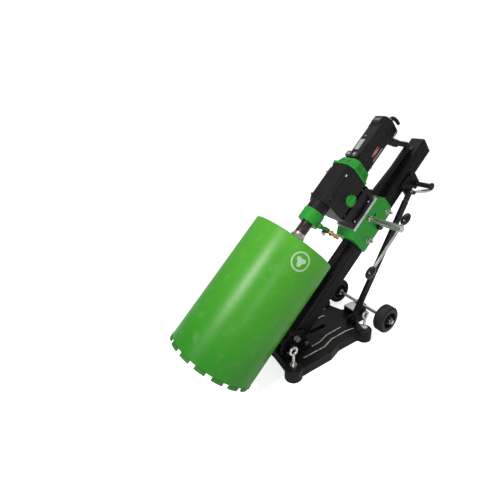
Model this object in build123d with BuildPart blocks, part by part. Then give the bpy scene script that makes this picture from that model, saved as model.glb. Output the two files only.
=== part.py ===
from build123d import *
import os
from math import acos, atan2, cos, degrees, pi, radians, sin, tan

# Core drill rig, in millimetres. +X is the rig's right, +Y its rear, +Z up.
# The origin is on the floor, midway between the four feet.

# Column frame: the column leans back, and everything on it is placed by three numbers:
# x (sideways), a (up the column, from the core bit's centre), n (rearwards, from the bit's axis).
LEAN = 45.0
BIT_CENTRE = Vector(0, -208, 230)
UP_COLUMN = Vector(0, sin(radians(LEAN)), cos(radians(LEAN)))
REARWARD = Vector(0, cos(radians(LEAN)), -sin(radians(LEAN)))
SIDEWAYS = Vector(1, 0, 0)

# Core bit
BIT_R = 124.5
BIT_WALL = 3.0
BIT_FOOT_A = -186.0
BIT_TOP_A = 194.5
BIT_PLATE = 8.0
SEGMENTS = 16
SEGMENT_LEN = 31.0
SEGMENT_R = (121.0, 125.6)
SEGMENT_TALL = 8.5

# Drill unit stations up the spindle
ADAPTOR_A = (194.5, 226.0)
SPINDLE_COLLAR_A = (226.0, 261.0)
SWIVEL_A = (262.0, 300.0)
NOSE_A = (300.0, 328.0)
GEARBOX_A = (328.0, 455.0)
BAND_A = (455.0, 489.0)
MOTOR_A = (489.0, 616.0)
MOTOR_END_A = 655.0
GEARBOX_HALF = 42.0
GEARBOX_N = (-25.0, 80.0)
BAND_LIP = 3.5
BAND_TOP_HALF = 35.0
BAND_TOP_N = (-10.0, 70.0)
MOTOR_HALF = 34.0
MOTOR_N = (-3.0, 67.0)
MOTOR_AXIS_N = 32.0
CASE_WALL = 4.0

# Gear train
MOTOR_MODULE = 1.0
ARMATURE_TEETH = 9
LAY_GEAR_TEETH = 31
SPINDLE_MODULE = 1.25
LAY_PINION_TEETH = 11
SPINDLE_TEETH = 31
BACKLASH = 0.16
PRESSURE_ANGLE = radians(20)

# Column, rack and carriage
COLUMN_X = 52.4
COLUMN_N = (190.8, 251.6)
COLUMN_WALL = 5.0
COLUMN_A = (-20.0, 736.0)
COLUMN_CAP = 6.6
RAIL_N = 209.0
RACK_MODULE = 2.5
RACK_HALF = 9.0
RACK_A = (62.0, 705.0)
RACK_PITCH_N = 184.85
FEED_TEETH = 13
FEED_A = 403.0
PLATE_N = (138.0, 148.0)
PLATE_A = (338.0, 465.0)
PLATE_HALF = 38.0
CARRIAGE_A = (316.0, 490.0)
CARRIAGE_HALF = 38.0
CARRIAGE_REAR_N = 243.0
CARRIAGE_GAP = 0.5
SHOE_A = (353.0, 468.0)
SHOE_N = 224.0

# Feed handle
FEED_SLEEVE_X = (92.0, 161.0)
FEED_BAR_X = 152.0
FEED_BAR_R = 4.5
FEED_BAR_A = (249.0, 436.0)
KNOB_LEN = 42.0
KNOB_R = 12.0

# Base and tilt pivot
FOOT_X = 102.0
FOOT_Y = 146.0
FOOT_R = 26.0
FOOT_TALL = 38.0
DECK_TALL = 27.0
PIVOT_Y = -109.0
PIVOT_Z = 52.0
PIVOT_R = 8.0
LOCK_R = 26.0
LOCK_ANGLE = 35.0
CHEEK_X = (27.2, 36.5)
RUNNING = 0.05

# Transport wheels
AXLE_Y = 233.4
AXLE_Z = 51.4
AXLE_R = 6.0
WHEEL_X = (101.0, 136.0)
WHEEL_R = 47.5
RIM_R = 33.0

# Strut
STRUT_X = 45.0
STRUT_FOOT = Vector(STRUT_X, 152, 40)
STRUT_TOP = Vector(STRUT_X, 381, 456)
STRUT_WIDE = 21.0
STRUT_THICK = 12.0
STRUT_WALL = 2.0
STRUT_BOLT_R = 4.0


def place(x, a, n):
    return BIT_CENTRE + SIDEWAYS * x + UP_COLUMN * a + REARWARD * n


def across(a, x=0.0, n=0.0):
    """Plane across the column: sketch (x, n), normal up the column."""
    return Plane(origin=place(x, a, n), x_dir=SIDEWAYS, z_dir=UP_COLUMN)


def beside(x, a=0.0, n=0.0):
    """Plane beside the column: sketch (n, a), normal to the right."""
    return Plane(origin=place(x, a, n), x_dir=REARWARD, z_dir=SIDEWAYS)


def facing(n, a=0.0, x=0.0):
    """Plane across the rig's front: sketch (x, a), normal to the front."""
    return Plane(origin=place(x, a, n), x_dir=SIDEWAYS, z_dir=-REARWARD)


def upright(x, y=0.0, z=0.0):
    """Plane beside the base: sketch (y, z), normal to the right."""
    return Plane(origin=(x, y, z), x_dir=(0, 1, 0), z_dir=(1, 0, 0))


def rod(plane, radius, length, mode=Mode.ADD):
    with BuildSketch(plane) as section:
        Circle(radius)
    extrude(section.sketch, amount=length, dir=plane.z_dir, mode=mode)


def ring(plane, outer, inner, length, mode=Mode.ADD):
    with BuildSketch(plane) as section:
        Circle(outer)
        Circle(inner, mode=Mode.SUBTRACT)
    extrude(section.sketch, amount=length, dir=plane.z_dir, mode=mode)


def hexagon(plane, flats, length, mode=Mode.ADD):
    with BuildSketch(plane) as section:
        RegularPolygon(flats / 2, 6, major_radius=False)
    extrude(section.sketch, amount=length, dir=plane.z_dir, mode=mode)


def bar(plane, width, depth, length, corner=0.0, mode=Mode.ADD):
    with BuildSketch(plane) as section:
        if corner:
            RectangleRounded(width, depth, corner)
        else:
            Rectangle(width, depth)
    extrude(section.sketch, amount=length, dir=plane.z_dir, mode=mode)


def slab(plane, points, length, mode=Mode.ADD):
    with BuildSketch(plane) as section:
        Polygon(*points, align=None)
    extrude(section.sketch, amount=length, dir=plane.z_dir, mode=mode)


def finish(builder, label):
    builder.part.label = label
    export_step(builder.part, f"parts/{label}.step")


def octagon(half, near, far, cut):
    return [
        (-half + cut, near), (half - cut, near), (half, near + cut), (half, far - cut),
        (half - cut, far), (-half + cut, far), (-half, far - cut), (-half, near + cut),
    ]


def gear_points(module, teeth, tooth_at, addendum=1.0, dedendum=1.2):
    """Involute spur gear outline with one tooth centred on the angle tooth_at (radians)."""
    pitch_r = module * teeth / 2
    base_r = pitch_r * cos(PRESSURE_ANGLE)
    tip_r = pitch_r + addendum * module
    root_r = pitch_r - dedendum * module
    half_tooth = (pi * module / 2 - BACKLASH) / (2 * pitch_r)
    at_pitch = tan(PRESSURE_ANGLE) - PRESSURE_ANGLE
    flank = []
    for step in range(4):
        radius = max(base_r, root_r) + (tip_r - max(base_r, root_r)) * step / 3
        turn = acos(min(1.0, base_r / radius))
        flank.append((radius, half_tooth + at_pitch - (tan(turn) - turn)))
    points = []
    for tooth in range(teeth):
        centre = tooth_at + 2 * pi * tooth / teeth
        points.append((root_r, centre - flank[0][1]))
        points += [(radius, centre - spread) for radius, spread in flank]
        points += [(radius, centre + spread) for radius, spread in reversed(flank)]
        points.append((root_r, centre + flank[0][1]))
    return [(radius * cos(angle), radius * sin(angle)) for radius, angle in points]


os.makedirs("parts", exist_ok=True)

# ---------------------------------------------------------------- base

BASE_HALF_OUTLINE = [
    (0, -148), (84, -156), (117, -128), (117, -12), (101, 34), (101, 112),
    (116, 150), (72, 166), (33, 178), (33, 250), (0, 250),
]
POCKET_OUTLINE = [(16, -130), (80, -134), (104, -116), (104, -16), (88, 36), (88, 104), (70, 140), (16, 140)]
SLOT_Y = (-8.0, 66.0)
SLOT_HALF = 8.0
BRACKET_BOLT_X = 46.0
BRACKET_BOLT_Y = (-125.0, -55.0)
# Lugs that hold the strut's foot, and the block behind them that carries the axle
LUG_PROFILE = [(134, DECK_TALL), (138, 48), (146, 52), (158, 52), (164, 46), (166, DECK_TALL)]
BLOCK_Y = (174.0, 215.0)
BLOCK_HALF = 21.0
BLOCK_PROFILE = [
    (BLOCK_Y[0], 10), (BLOCK_Y[0], 51), (BLOCK_Y[1], 51), (BLOCK_Y[1], AXLE_Z), (247, AXLE_Z), (247, 10),
]
# Raised ribs on the deck, ground bright on top
RIB_LINES = [
    [(84, -96), (84, -14), (70, 30), (67, 96), (72, 128)],
    [(59, -44), (58, -12), (45, 32), (42, 98)],
]

with BuildPart() as base_casting:
    with BuildSketch(Plane.XY):
        with BuildLine():
            FilletPolyline(*BASE_HALF_OUTLINE, radius=11)
            mirror(about=Plane.YZ)
        make_face()
    extrude(amount=DECK_TALL, taper=4)
    with BuildSketch(Plane.XY):
        with GridLocations(2 * FOOT_X, 2 * FOOT_Y, 2, 2):
            Circle(FOOT_R)
    extrude(amount=FOOT_TALL)
    rims = base_casting.faces().filter_by(Plane.XY).group_by(Axis.Z)[-1].edges()
    fillet(rims, radius=3)
    with BuildSketch(Plane.XY):
        Polygon(*POCKET_OUTLINE, align=None)
        mirror(about=Plane.YZ)
    extrude(amount=DECK_TALL - 8, mode=Mode.SUBTRACT)
    with BuildSketch(Plane.XY.offset(0)):
        with Locations((0, sum(SLOT_Y) / 2)):
            SlotOverall(SLOT_Y[1] - SLOT_Y[0], 2 * SLOT_HALF, rotation=90)
    extrude(amount=DECK_TALL, mode=Mode.SUBTRACT)
    with BuildSketch(Plane.XY.offset(FOOT_TALL - 32)):
        with GridLocations(2 * FOOT_X, 2 * FOOT_Y, 2, 2):
            Circle(6 + RUNNING)
    extrude(amount=40, mode=Mode.SUBTRACT)
    with Locations(*[(side * BRACKET_BOLT_X, y, DECK_TALL) for side in (1, -1) for y in BRACKET_BOLT_Y]):
        Cylinder(4.15, 40, mode=Mode.SUBTRACT)
    for x in (STRUT_X - STRUT_THICK / 2 - 6.4, STRUT_X + STRUT_THICK / 2 + 0.4):
        slab(upright(x), LUG_PROFILE, 6)
    rod(upright(STRUT_X - 20, STRUT_FOOT.Y, STRUT_FOOT.Z), STRUT_BOLT_R + RUNNING, 40, mode=Mode.SUBTRACT)
    slab(upright(-BLOCK_HALF), BLOCK_PROFILE, 2 * BLOCK_HALF)
    rod(upright(-BLOCK_HALF - 1, AXLE_Y, AXLE_Z), AXLE_R + RUNNING, 2 * BLOCK_HALF + 2, mode=Mode.SUBTRACT)
    for line in RIB_LINES:
        with BuildSketch(Plane.XY.offset(DECK_TALL)) as rib:
            with BuildLine() as track:
                FilletPolyline(*line, radius=18)
            trace(track.line, line_width=4)
        extrude(rib.sketch, amount=2.2)
        extrude(mirror(rib.sketch, about=Plane.YZ, mode=Mode.PRIVATE), amount=2.2)
finish(base_casting, "base_casting")
# Four levelling eye bolts, each turning in its own foot
EYE_Z = 92.0
EYE_R = 11.0
EYE_WIRE = 3.6
EYE_TURN = {"front_right": 35, "rear_right": -30, "front_left": 60, "rear_left": 10}
NUT_TALL = 8.0
for side, side_name in ((1, "right"), (-1, "left")):
    for along, along_name in ((-1, "front"), (1, "rear")):
        corner = f"{along_name}_{side_name}"
        foot = (side * FOOT_X, along * FOOT_Y)
        with BuildPart() as levelling_screw:
            rod(Plane(origin=(*foot, 6.5)), 6, 42)
            rod(Plane(origin=(*foot, 48.5)), 4.2, EYE_Z - EYE_R - 48.5)
            with Locations(Location((*foot, EYE_Z), (0, 90, EYE_TURN[corner]))):
                Torus(EYE_R, EYE_WIRE)
        finish(levelling_screw, f"levelling_screw_{corner}")
with BuildPart() as base_nuts:
    for side in (1, -1):
        for along in (1, -1):
            plane = Plane(origin=(side * FOOT_X, along * FOOT_Y, FOOT_TALL))
            hexagon(plane, 19, NUT_TALL)
            rod(plane, 6 + RUNNING, NUT_TALL, mode=Mode.SUBTRACT)
        for y in BRACKET_BOLT_Y:
            rod(Plane(origin=(side * BRACKET_BOLT_X, y, 20)), 4.1, 16)
            hexagon(Plane(origin=(side * BRACKET_BOLT_X, y, DECK_TALL + 8)), 12, 6)
finish(base_nuts, "base_nuts")

# Pivot cheeks: one each side of the column's foot, bolted to the deck
CHEEK_PROFILE = [(-142, DECK_TALL), (-142, 46), (-124, 80), (-108, 90), (-84, 90), (-59, 84), (-39, DECK_TALL)]
LOCK_TURN = 45.0
lock_track = CenterArc((0, 0), LOCK_R, LOCK_ANGLE, LOCK_TURN)
with BuildPart() as pivot_bracket:
    slab(upright(CHEEK_X[0]), CHEEK_PROFILE, CHEEK_X[1] - CHEEK_X[0])
    with BuildSketch(Plane.XY.offset(DECK_TALL)) as flange:
        with Locations(((CHEEK_X[1] + 54) / 2, -90)):
            Rectangle(54 - CHEEK_X[1], 100)
    extrude(flange.sketch, amount=8)
    with BuildSketch(upright(CHEEK_X[0] - 1, PIVOT_Y, PIVOT_Z)) as openings:
        Circle(PIVOT_R + RUNNING)
        SlotArc(lock_track, 11)
    extrude(openings.sketch, amount=12, dir=(1, 0, 0), mode=Mode.SUBTRACT)
    with Locations(*[(BRACKET_BOLT_X, y, DECK_TALL) for y in BRACKET_BOLT_Y]):
        Cylinder(4.2, 20, mode=Mode.SUBTRACT)
    mirror(about=Plane.YZ)
finish(pivot_bracket, "pivot_bracket")
with BuildPart() as pivot_bolts:
    rod(upright(-CHEEK_X[1] - 14, PIVOT_Y, PIVOT_Z), PIVOT_R, 2 * CHEEK_X[1] + 24)
    for x in (CHEEK_X[1], -CHEEK_X[1] - 3):
        rod(upright(x, PIVOT_Y, PIVOT_Z), 13, 3)
    hexagon(upright(CHEEK_X[1] + 3, PIVOT_Y, PIVOT_Z), 22, 9)
    hexagon(upright(-CHEEK_X[1] - 12, PIVOT_Y, PIVOT_Z), 22, 9)
    rod(upright(STRUT_X - 18, STRUT_FOOT.Y, STRUT_FOOT.Z), STRUT_BOLT_R, 36)
    hexagon(upright(STRUT_X + STRUT_THICK / 2 + 6.4, STRUT_FOOT.Y, STRUT_FOOT.Z), 13, 5)
    hexagon(upright(STRUT_X - STRUT_THICK / 2 - 11.4, STRUT_FOOT.Y, STRUT_FOOT.Z), 13, 5)
finish(pivot_bolts, "pivot_bolts")

# ---------------------------------------------------------------- wheels and axle

with BuildPart() as block_plate:
    bar(Plane(origin=(0, sum(BLOCK_Y) / 2, 51)), 2 * BLOCK_HALF + 2, BLOCK_Y[1] - BLOCK_Y[0] - 0.5, 3.5)
    for x in (-18, 10):
        with BuildSketch(upright(x)) as strap:
            with Locations((AXLE_Y, AXLE_Z)):
                Circle(AXLE_R + 3)
                with Locations((0, -10)):
                    Rectangle(40, 20, mode=Mode.SUBTRACT)
                with Locations((0, 1.25)):
                    Rectangle(26, 2.5)
                Circle(AXLE_R + RUNNING, mode=Mode.SUBTRACT)
        extrude(strap.sketch, amount=8, dir=(1, 0, 0))
finish(block_plate, "block_plate")
AXLE_END = WHEEL_X[1] + 9
with BuildPart() as wheel_axle:
    rod(upright(-AXLE_END, AXLE_Y, AXLE_Z), AXLE_R, 2 * AXLE_END)
    for side in (1, -1):
        rod(upright(side * (WHEEL_X[0] - 3) - 2.5, AXLE_Y, AXLE_Z), 11, 5)
        rod(upright(side * (WHEEL_X[1] + 3.5) - 2.5, AXLE_Y, AXLE_Z), 10, 5)
        hexagon(upright(side * (WHEEL_X[1] + 9) - 3, AXLE_Y, AXLE_Z), 15, 6)
        rod(upright(side * (AXLE_END + 1.75) - 1.75, AXLE_Y, AXLE_Z), 6.5, 3.5)
finish(wheel_axle, "wheel_axle")
SPOKES = 6
for side, side_name in ((1, "right"), (-1, "left")):
    middle = side * sum(WHEEL_X) / 2
    width = WHEEL_X[1] - WHEEL_X[0]
    with BuildPart() as tyre:
        ring(upright(middle - width / 2, AXLE_Y, AXLE_Z), WHEEL_R, RIM_R, width)
        fillet(tyre.edges().filter_by(GeomType.CIRCLE).group_by(SortBy.RADIUS)[-1], radius=7)
    finish(tyre, f"tyre_{side_name}")
    with BuildPart() as rim:
        ring(upright(middle - width / 2 + 2, AXLE_Y, AXLE_Z), RIM_R, 28, width - 4)
        ring(upright(middle - width / 2 + 1, AXLE_Y, AXLE_Z), 14, AXLE_R + RUNNING, width - 2)
        ring(upright(middle - 3, AXLE_Y, AXLE_Z), 29, 12, 6)
        with BuildSketch(upright(middle - 9, AXLE_Y, AXLE_Z)) as spokes:
            with PolarLocations(20.5, SPOKES):
                Rectangle(16, 4)
        extrude(spokes.sketch, amount=18, dir=(1, 0, 0))
    finish(rim, f"rim_{side_name}")

# ---------------------------------------------------------------- column

with BuildPart() as column_tube:
    middle_n = sum(COLUMN_N) / 2
    deep = COLUMN_N[1] - COLUMN_N[0]
    with BuildSketch(across(COLUMN_A[0], 0, middle_n)) as wall:
        RectangleRounded(COLUMN_X, deep, 5)
        RectangleRounded(COLUMN_X - 2 * COLUMN_WALL, deep - 2 * COLUMN_WALL, 2, mode=Mode.SUBTRACT)
    extrude(wall.sketch, amount=COLUMN_A[1] - COLUMN_A[0], dir=UP_COLUMN)
    for side in (1, -1):
        bar(across(30, side * (COLUMN_X / 2 + 0.8), RAIL_N), 2, 4, 660)
finish(column_tube, "column_tube")
with BuildPart() as column_cap:
    bar(across(COLUMN_A[1], 0, middle_n), COLUMN_X, deep, COLUMN_CAP, corner=5)
    bar(across(COLUMN_A[1] - 18, 0, middle_n), COLUMN_X - 2 * COLUMN_WALL - 0.2, deep - 2 * COLUMN_WALL - 0.2, 18,
        corner=2)
finish(column_cap, "column_cap")

RACK_PITCH = pi * RACK_MODULE
RACK_TEETH = int((RACK_A[1] - RACK_A[0]) / RACK_PITCH)
RACK_TIP_N = RACK_PITCH_N - 1.8
RACK_ROOT_N = RACK_PITCH_N + 2.7
rack_outline = [(COLUMN_N[0], RACK_A[0])]
first_gap = FEED_A - RACK_PITCH * int((FEED_A - RACK_A[0]) / RACK_PITCH)
for tooth in range(RACK_TEETH - 1):
    middle_a = first_gap + RACK_PITCH * (tooth + 0.5)
    tip_half = (RACK_PITCH / 2 - BACKLASH) / 2 - 1.8 * tan(PRESSURE_ANGLE)
    root_half = (RACK_PITCH / 2 - BACKLASH) / 2 + 2.7 * tan(PRESSURE_ANGLE)
    rack_outline += [
        (RACK_ROOT_N, middle_a - root_half), (RACK_TIP_N, middle_a - tip_half),
        (RACK_TIP_N, middle_a + tip_half), (RACK_ROOT_N, middle_a + root_half),
    ]
rack_outline += [(RACK_ROOT_N, RACK_A[1]), (COLUMN_N[0], RACK_A[1])]
rack_outline.insert(1, (RACK_ROOT_N, RACK_A[0]))
with BuildPart() as feed_rack:
    slab(beside(-RACK_HALF), rack_outline, 2 * RACK_HALF)
finish(feed_rack, "feed_rack")

# The shoe plugs the tube's foot and carries the tilt pivot's bore and the lock bolt
PIVOT_N = (PIVOT_Y - BIT_CENTRE.Y) * REARWARD.Y + (PIVOT_Z - BIT_CENTRE.Z) * REARWARD.Z
PIVOT_A = (PIVOT_Y - BIT_CENTRE.Y) * UP_COLUMN.Y + (PIVOT_Z - BIT_CENTRE.Z) * UP_COLUMN.Z
SHOE_R = 22.0
lock_y = PIVOT_Y + LOCK_R * cos(radians(LOCK_ANGLE))
lock_z = PIVOT_Z + LOCK_R * sin(radians(LOCK_ANGLE))
with BuildPart() as column_shoe:
    inner_half = COLUMN_X / 2 - COLUMN_WALL - 0.1
    bar(across(COLUMN_A[0], 0, middle_n), 2 * inner_half, deep - 2 * COLUMN_WALL - 0.2, 55, corner=2)
    with BuildSketch(beside(-COLUMN_X / 2)) as foot_profile:
        Polygon(
            (PIVOT_N - SHOE_R, PIVOT_A), (COLUMN_N[0], COLUMN_A[0]), (COLUMN_N[1], COLUMN_A[0]),
            (PIVOT_N + SHOE_R * 0.75, PIVOT_A - SHOE_R * 0.66), (PIVOT_N, PIVOT_A), align=None,
        )
        with Locations((PIVOT_N, PIVOT_A)):
            Circle(SHOE_R)
    extrude(foot_profile.sketch, amount=COLUMN_X, dir=SIDEWAYS)
    rod(upright(-40, PIVOT_Y, PIVOT_Z), PIVOT_R + RUNNING, 80, mode=Mode.SUBTRACT)
    rod(upright(-40, lock_y, lock_z), 5, 80, mode=Mode.SUBTRACT)
finish(column_shoe, "column_shoe")
with BuildPart() as lock_bolt:
    rod(upright(-CHEEK_X[1] - 10, lock_y, lock_z), 5, 2 * CHEEK_X[1] + 20)
    for x in (CHEEK_X[1] + 0.4, -CHEEK_X[1] - 3.4):
        rod(upright(x, lock_y, lock_z), 10, 3)
    hexagon(upright(CHEEK_X[1] + 3.4, lock_y, lock_z), 16, 8)
    hexagon(upright(-CHEEK_X[1] - 11.4, lock_y, lock_z), 16, 8)
finish(lock_bolt, "lock_bolt")

# Strut bracket on the column's right side and rear, with the transport grip behind
BRACKET_A = (560.0, 640.0)
GRIP_N = 280.0
GRIP_A = 626.0
GRIP_END_X = 87.0
GRIP_R = 8.5
with BuildPart() as strut_bracket:
    side_x = COLUMN_X / 2
    slab(beside(side_x), [(222, 566), (222, 628), (236, 640), (274, 640), (274, 566)], 8)
    slab(beside(-14), [(COLUMN_N[1], 600), (COLUMN_N[1], 640), (GRIP_N + 12, 640), (GRIP_N + 12, 612)], 22 + side_x)
    for a in (574, 598, 622):
        hexagon(beside(side_x + 8, a, 232), 9, 4)
finish(strut_bracket, "strut_bracket")
with BuildPart() as transport_grip:
    rod(beside(side_x + 8, GRIP_A, GRIP_N), GRIP_R, GRIP_END_X - side_x - 8)
    rod(beside(GRIP_END_X, GRIP_A, GRIP_N), 12.5, 6)
    fillet(transport_grip.faces().sort_by(Axis.X)[-1].edges(), radius=1.5)
finish(transport_grip, "transport_grip")

# ---------------------------------------------------------------- strut

strut_dir = (STRUT_TOP - STRUT_FOOT).normalized()
strut_len = (STRUT_TOP - STRUT_FOOT).length


def along_strut(distance, x=STRUT_X):
    """Plane across the strut: sketch (x, thickness direction), normal towards the strut's top."""
    point = STRUT_FOOT + strut_dir * distance
    return Plane(origin=(x, point.Y, point.Z), x_dir=(1, 0, 0), z_dir=strut_dir)


OUTER_TOP = strut_len - 34
INNER_FOOT = 60.0
with BuildPart() as strut_tube:
    bar(along_strut(16), STRUT_THICK, STRUT_WIDE, OUTER_TOP - 16)
    bar(along_strut(30), STRUT_THICK - 2 * STRUT_WALL, STRUT_WIDE - 2 * STRUT_WALL, OUTER_TOP, mode=Mode.SUBTRACT)
    rod(upright(STRUT_X - STRUT_THICK / 2, STRUT_FOOT.Y, STRUT_FOOT.Z), STRUT_WIDE / 2, STRUT_THICK)
    bar(along_strut(0), STRUT_THICK, STRUT_WIDE, 17)
    rod(upright(STRUT_X - 10, STRUT_FOOT.Y, STRUT_FOOT.Z), STRUT_BOLT_R + RUNNING, 20, mode=Mode.SUBTRACT)
finish(strut_tube, "strut_tube")
with BuildPart() as strut_slider:
    bar(along_strut(INNER_FOOT), STRUT_THICK - 2 * STRUT_WALL - 0.4, STRUT_WIDE - 2 * STRUT_WALL - 0.4,
        OUTER_TOP - INNER_FOOT + 3)
    bar(along_strut(OUTER_TOP + 2), STRUT_THICK - 2, STRUT_WIDE, strut_len - OUTER_TOP - 2)
    rod(upright(STRUT_X - STRUT_THICK / 2 + 1, STRUT_TOP.Y, STRUT_TOP.Z), STRUT_WIDE / 2, STRUT_THICK - 2)
    rod(upright(STRUT_X - 10, STRUT_TOP.Y, STRUT_TOP.Z), STRUT_BOLT_R, 20, mode=Mode.SUBTRACT)
finish(strut_slider, "strut_slider")
with BuildPart() as strut_top_bolt:
    rod(upright(side_x + 8.3, STRUT_TOP.Y, STRUT_TOP.Z), STRUT_BOLT_R, STRUT_X + 12 - side_x)
    rod(upright(STRUT_X + 17, STRUT_TOP.Y, STRUT_TOP.Z), 6, 3)
finish(strut_top_bolt, "strut_top_bolt")

# Clamp lever on the strut's top bolt: a cast arm swept out to the right and rear
LEVER_PATH = [(57, 381, 456), (64, 404, 457), (74, 428, 457), (80, 447, 459)]
with BuildPart() as clamp_lever:
    rod(upright(STRUT_X + 7, STRUT_TOP.Y, STRUT_TOP.Z), 8, 9.5)
    with BuildLine() as arm_path:
        Spline(*LEVER_PATH)
    with BuildSketch(Plane(origin=arm_path.line @ 0, x_dir=(1, 0, 0), z_dir=arm_path.line % 0)) as arm_section:
        RectangleRounded(5, 9, 2)
    sweep(arm_section.sketch, path=arm_path.line)
    rod(upright(STRUT_X, STRUT_TOP.Y, STRUT_TOP.Z), STRUT_BOLT_R + RUNNING, 30, mode=Mode.SUBTRACT)
finish(clamp_lever, "clamp_lever")

# ---------------------------------------------------------------- carriage

FEED_N = RACK_PITCH_N - FEED_TEETH * RACK_MODULE / 2
CAVITY_R = FEED_TEETH * RACK_MODULE / 2 + 3.4
FEED_SHAFT_R = 7.0
BUSH_R = 11.0
inner_x = COLUMN_X / 2 + CARRIAGE_GAP
inner_n = COLUMN_N[0] - CARRIAGE_GAP
low_a, high_a = CARRIAGE_A
with BuildPart() as carriage_housing:
    slab(beside(-CARRIAGE_HALF), [
        (PLATE_N[1], PLATE_A[0] + 2), (164, low_a), (CARRIAGE_REAR_N, low_a),
        (CARRIAGE_REAR_N, high_a - 12), (CARRIAGE_REAR_N - 14, high_a), (176, high_a),
        (PLATE_N[1], PLATE_A[1]),
    ], 2 * CARRIAGE_HALF)
    bar(across(low_a - 1, 0, inner_n + 40), 2 * inner_x, 80, high_a - low_a + 2, mode=Mode.SUBTRACT)
    bar(across(low_a - 1, 0, RAIL_N), COLUMN_X + 5.2, 5.4, high_a - low_a + 2, mode=Mode.SUBTRACT)
    bar(across(low_a - 1, 0, inner_n), 2 * RACK_HALF + 4, 2 * (COLUMN_N[0] - RACK_TIP_N) + 3, high_a - low_a + 2,
        mode=Mode.SUBTRACT)
    rod(beside(-12, FEED_A, FEED_N), CAVITY_R, 24, mode=Mode.SUBTRACT)
    rod(beside(-CARRIAGE_HALF - 1, FEED_A, FEED_N), BUSH_R, 2 * CARRIAGE_HALF + 2, mode=Mode.SUBTRACT)
    for side in (1, -1):
        for a in SHOE_A:
            pocket = beside(side * (inner_x + 3.25), a, SHOE_N)
            with BuildSketch(pocket) as recess:
                Rectangle(22, 36)
            extrude(recess.sketch, amount=3.35, both=True, mode=Mode.SUBTRACT)
            rod(beside(side * 36 - 6, a, SHOE_N), 5, 12, mode=Mode.SUBTRACT)
    rod(beside(20, 413, 226), 4.1, 30, mode=Mode.SUBTRACT)
    rod(beside(33, 428, 183), 6, 10, mode=Mode.SUBTRACT)
finish(carriage_housing, "carriage_housing")
with BuildPart() as guide_pads:
    for side in (1, -1):
        for a in SHOE_A:
            with BuildSketch(beside(side * (COLUMN_X / 2 + 0.35 + 2.8), a, SHOE_N)) as pad:
                Rectangle(21.6, 35.6)
            extrude(pad.sketch, amount=2.8, both=True)
        ring(beside(side * 25.2 - 12.6, FEED_A, FEED_N), BUSH_R, FEED_SHAFT_R + RUNNING, 25.2)
finish(guide_pads, "guide_pads")
with BuildPart() as carriage_bolts:
    for side in (1, -1):
        for a in SHOE_A:
            rod(beside(side * 45.5 - 12.5, a, SHOE_N), 4.9, 25)
            rod(beside(side * 38.9 - 0.8, a, SHOE_N), 9.5, 1.6)
            hexagon(beside(side * 43.2 - 3.4, a, SHOE_N), 15, 6.8)
        for a in (362, 438):
            hexagon(facing(128, a, side * 32), 6.5, 5)
finish(carriage_bolts, "carriage_bolts")

with BuildPart() as feed_shaft:
    slab(beside(-10, FEED_A, FEED_N), gear_points(RACK_MODULE, FEED_TEETH, 0.0, 0.92, 1.16), 20)
    rod(beside(-40, FEED_A, FEED_N), FEED_SHAFT_R, 140)
    rod(beside(-42, FEED_A, FEED_N), 9, 2.5)
    rod(beside(39, FEED_A, FEED_N), 9, 5)
finish(feed_shaft, "feed_shaft")
with BuildPart() as feed_sleeve:
    rod(beside(64, FEED_A, FEED_N), 8.5, FEED_SLEEVE_X[0] - 64)
    rod(beside(FEED_SLEEVE_X[0], FEED_A, FEED_N), 10.5, FEED_SLEEVE_X[1] - FEED_SLEEVE_X[0])
    rod(beside(60, FEED_A, FEED_N), FEED_SHAFT_R, 40, mode=Mode.SUBTRACT)
    rod(across(FEED_A - 20, FEED_BAR_X, FEED_N), FEED_BAR_R + RUNNING, 40, mode=Mode.SUBTRACT)
finish(feed_sleeve, "feed_sleeve")
with BuildPart() as feed_bar:
    rod(across(FEED_BAR_A[0], FEED_BAR_X, FEED_N), FEED_BAR_R, FEED_BAR_A[1] - FEED_BAR_A[0])
finish(feed_bar, "feed_bar")
with BuildPart() as feed_bar_knobs:
    for a, towards_bar in ((FEED_BAR_A[0], 1), (FEED_BAR_A[1], -1)):
        with BuildSketch(beside(FEED_BAR_X, a, FEED_N)) as half_oval:
            Ellipse(KNOB_R, KNOB_LEN / 2)
            with Locations((-KNOB_R, 0)):
                Rectangle(2 * KNOB_R, KNOB_LEN, mode=Mode.SUBTRACT)
            with Locations((0, towards_bar * KNOB_LEN / 4)):
                Rectangle(2 * FEED_BAR_R, KNOB_LEN / 2, mode=Mode.SUBTRACT)
        revolve(half_oval.sketch, axis=Axis(place(FEED_BAR_X, a, FEED_N), UP_COLUMN))
finish(feed_bar_knobs, "feed_bar_knobs")
with BuildPart() as carriage_lock:
    rod(beside(COLUMN_X / 2 + 0.3, 413, 226), 4, 15)
    rod(beside(39, 413, 226), 6, 3)
    rod(beside(41.5, 413, 226), 12, 11)
    fillet(carriage_lock.faces().sort_by(Axis((0, 0, 0), (1, 0, 0)))[-1].edges(), radius=2.5)
finish(carriage_lock, "carriage_lock")
with BuildPart() as mounting_plate:
    slab(beside(-PLATE_HALF), [
        (PLATE_N[0], PLATE_A[0]), (PLATE_N[1], PLATE_A[0]), (PLATE_N[1], PLATE_A[1]), (PLATE_N[0], PLATE_A[1]),
    ], 2 * PLATE_HALF)
finish(mounting_plate, "mounting_plate")

# ---------------------------------------------------------------- drill unit housings

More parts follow.
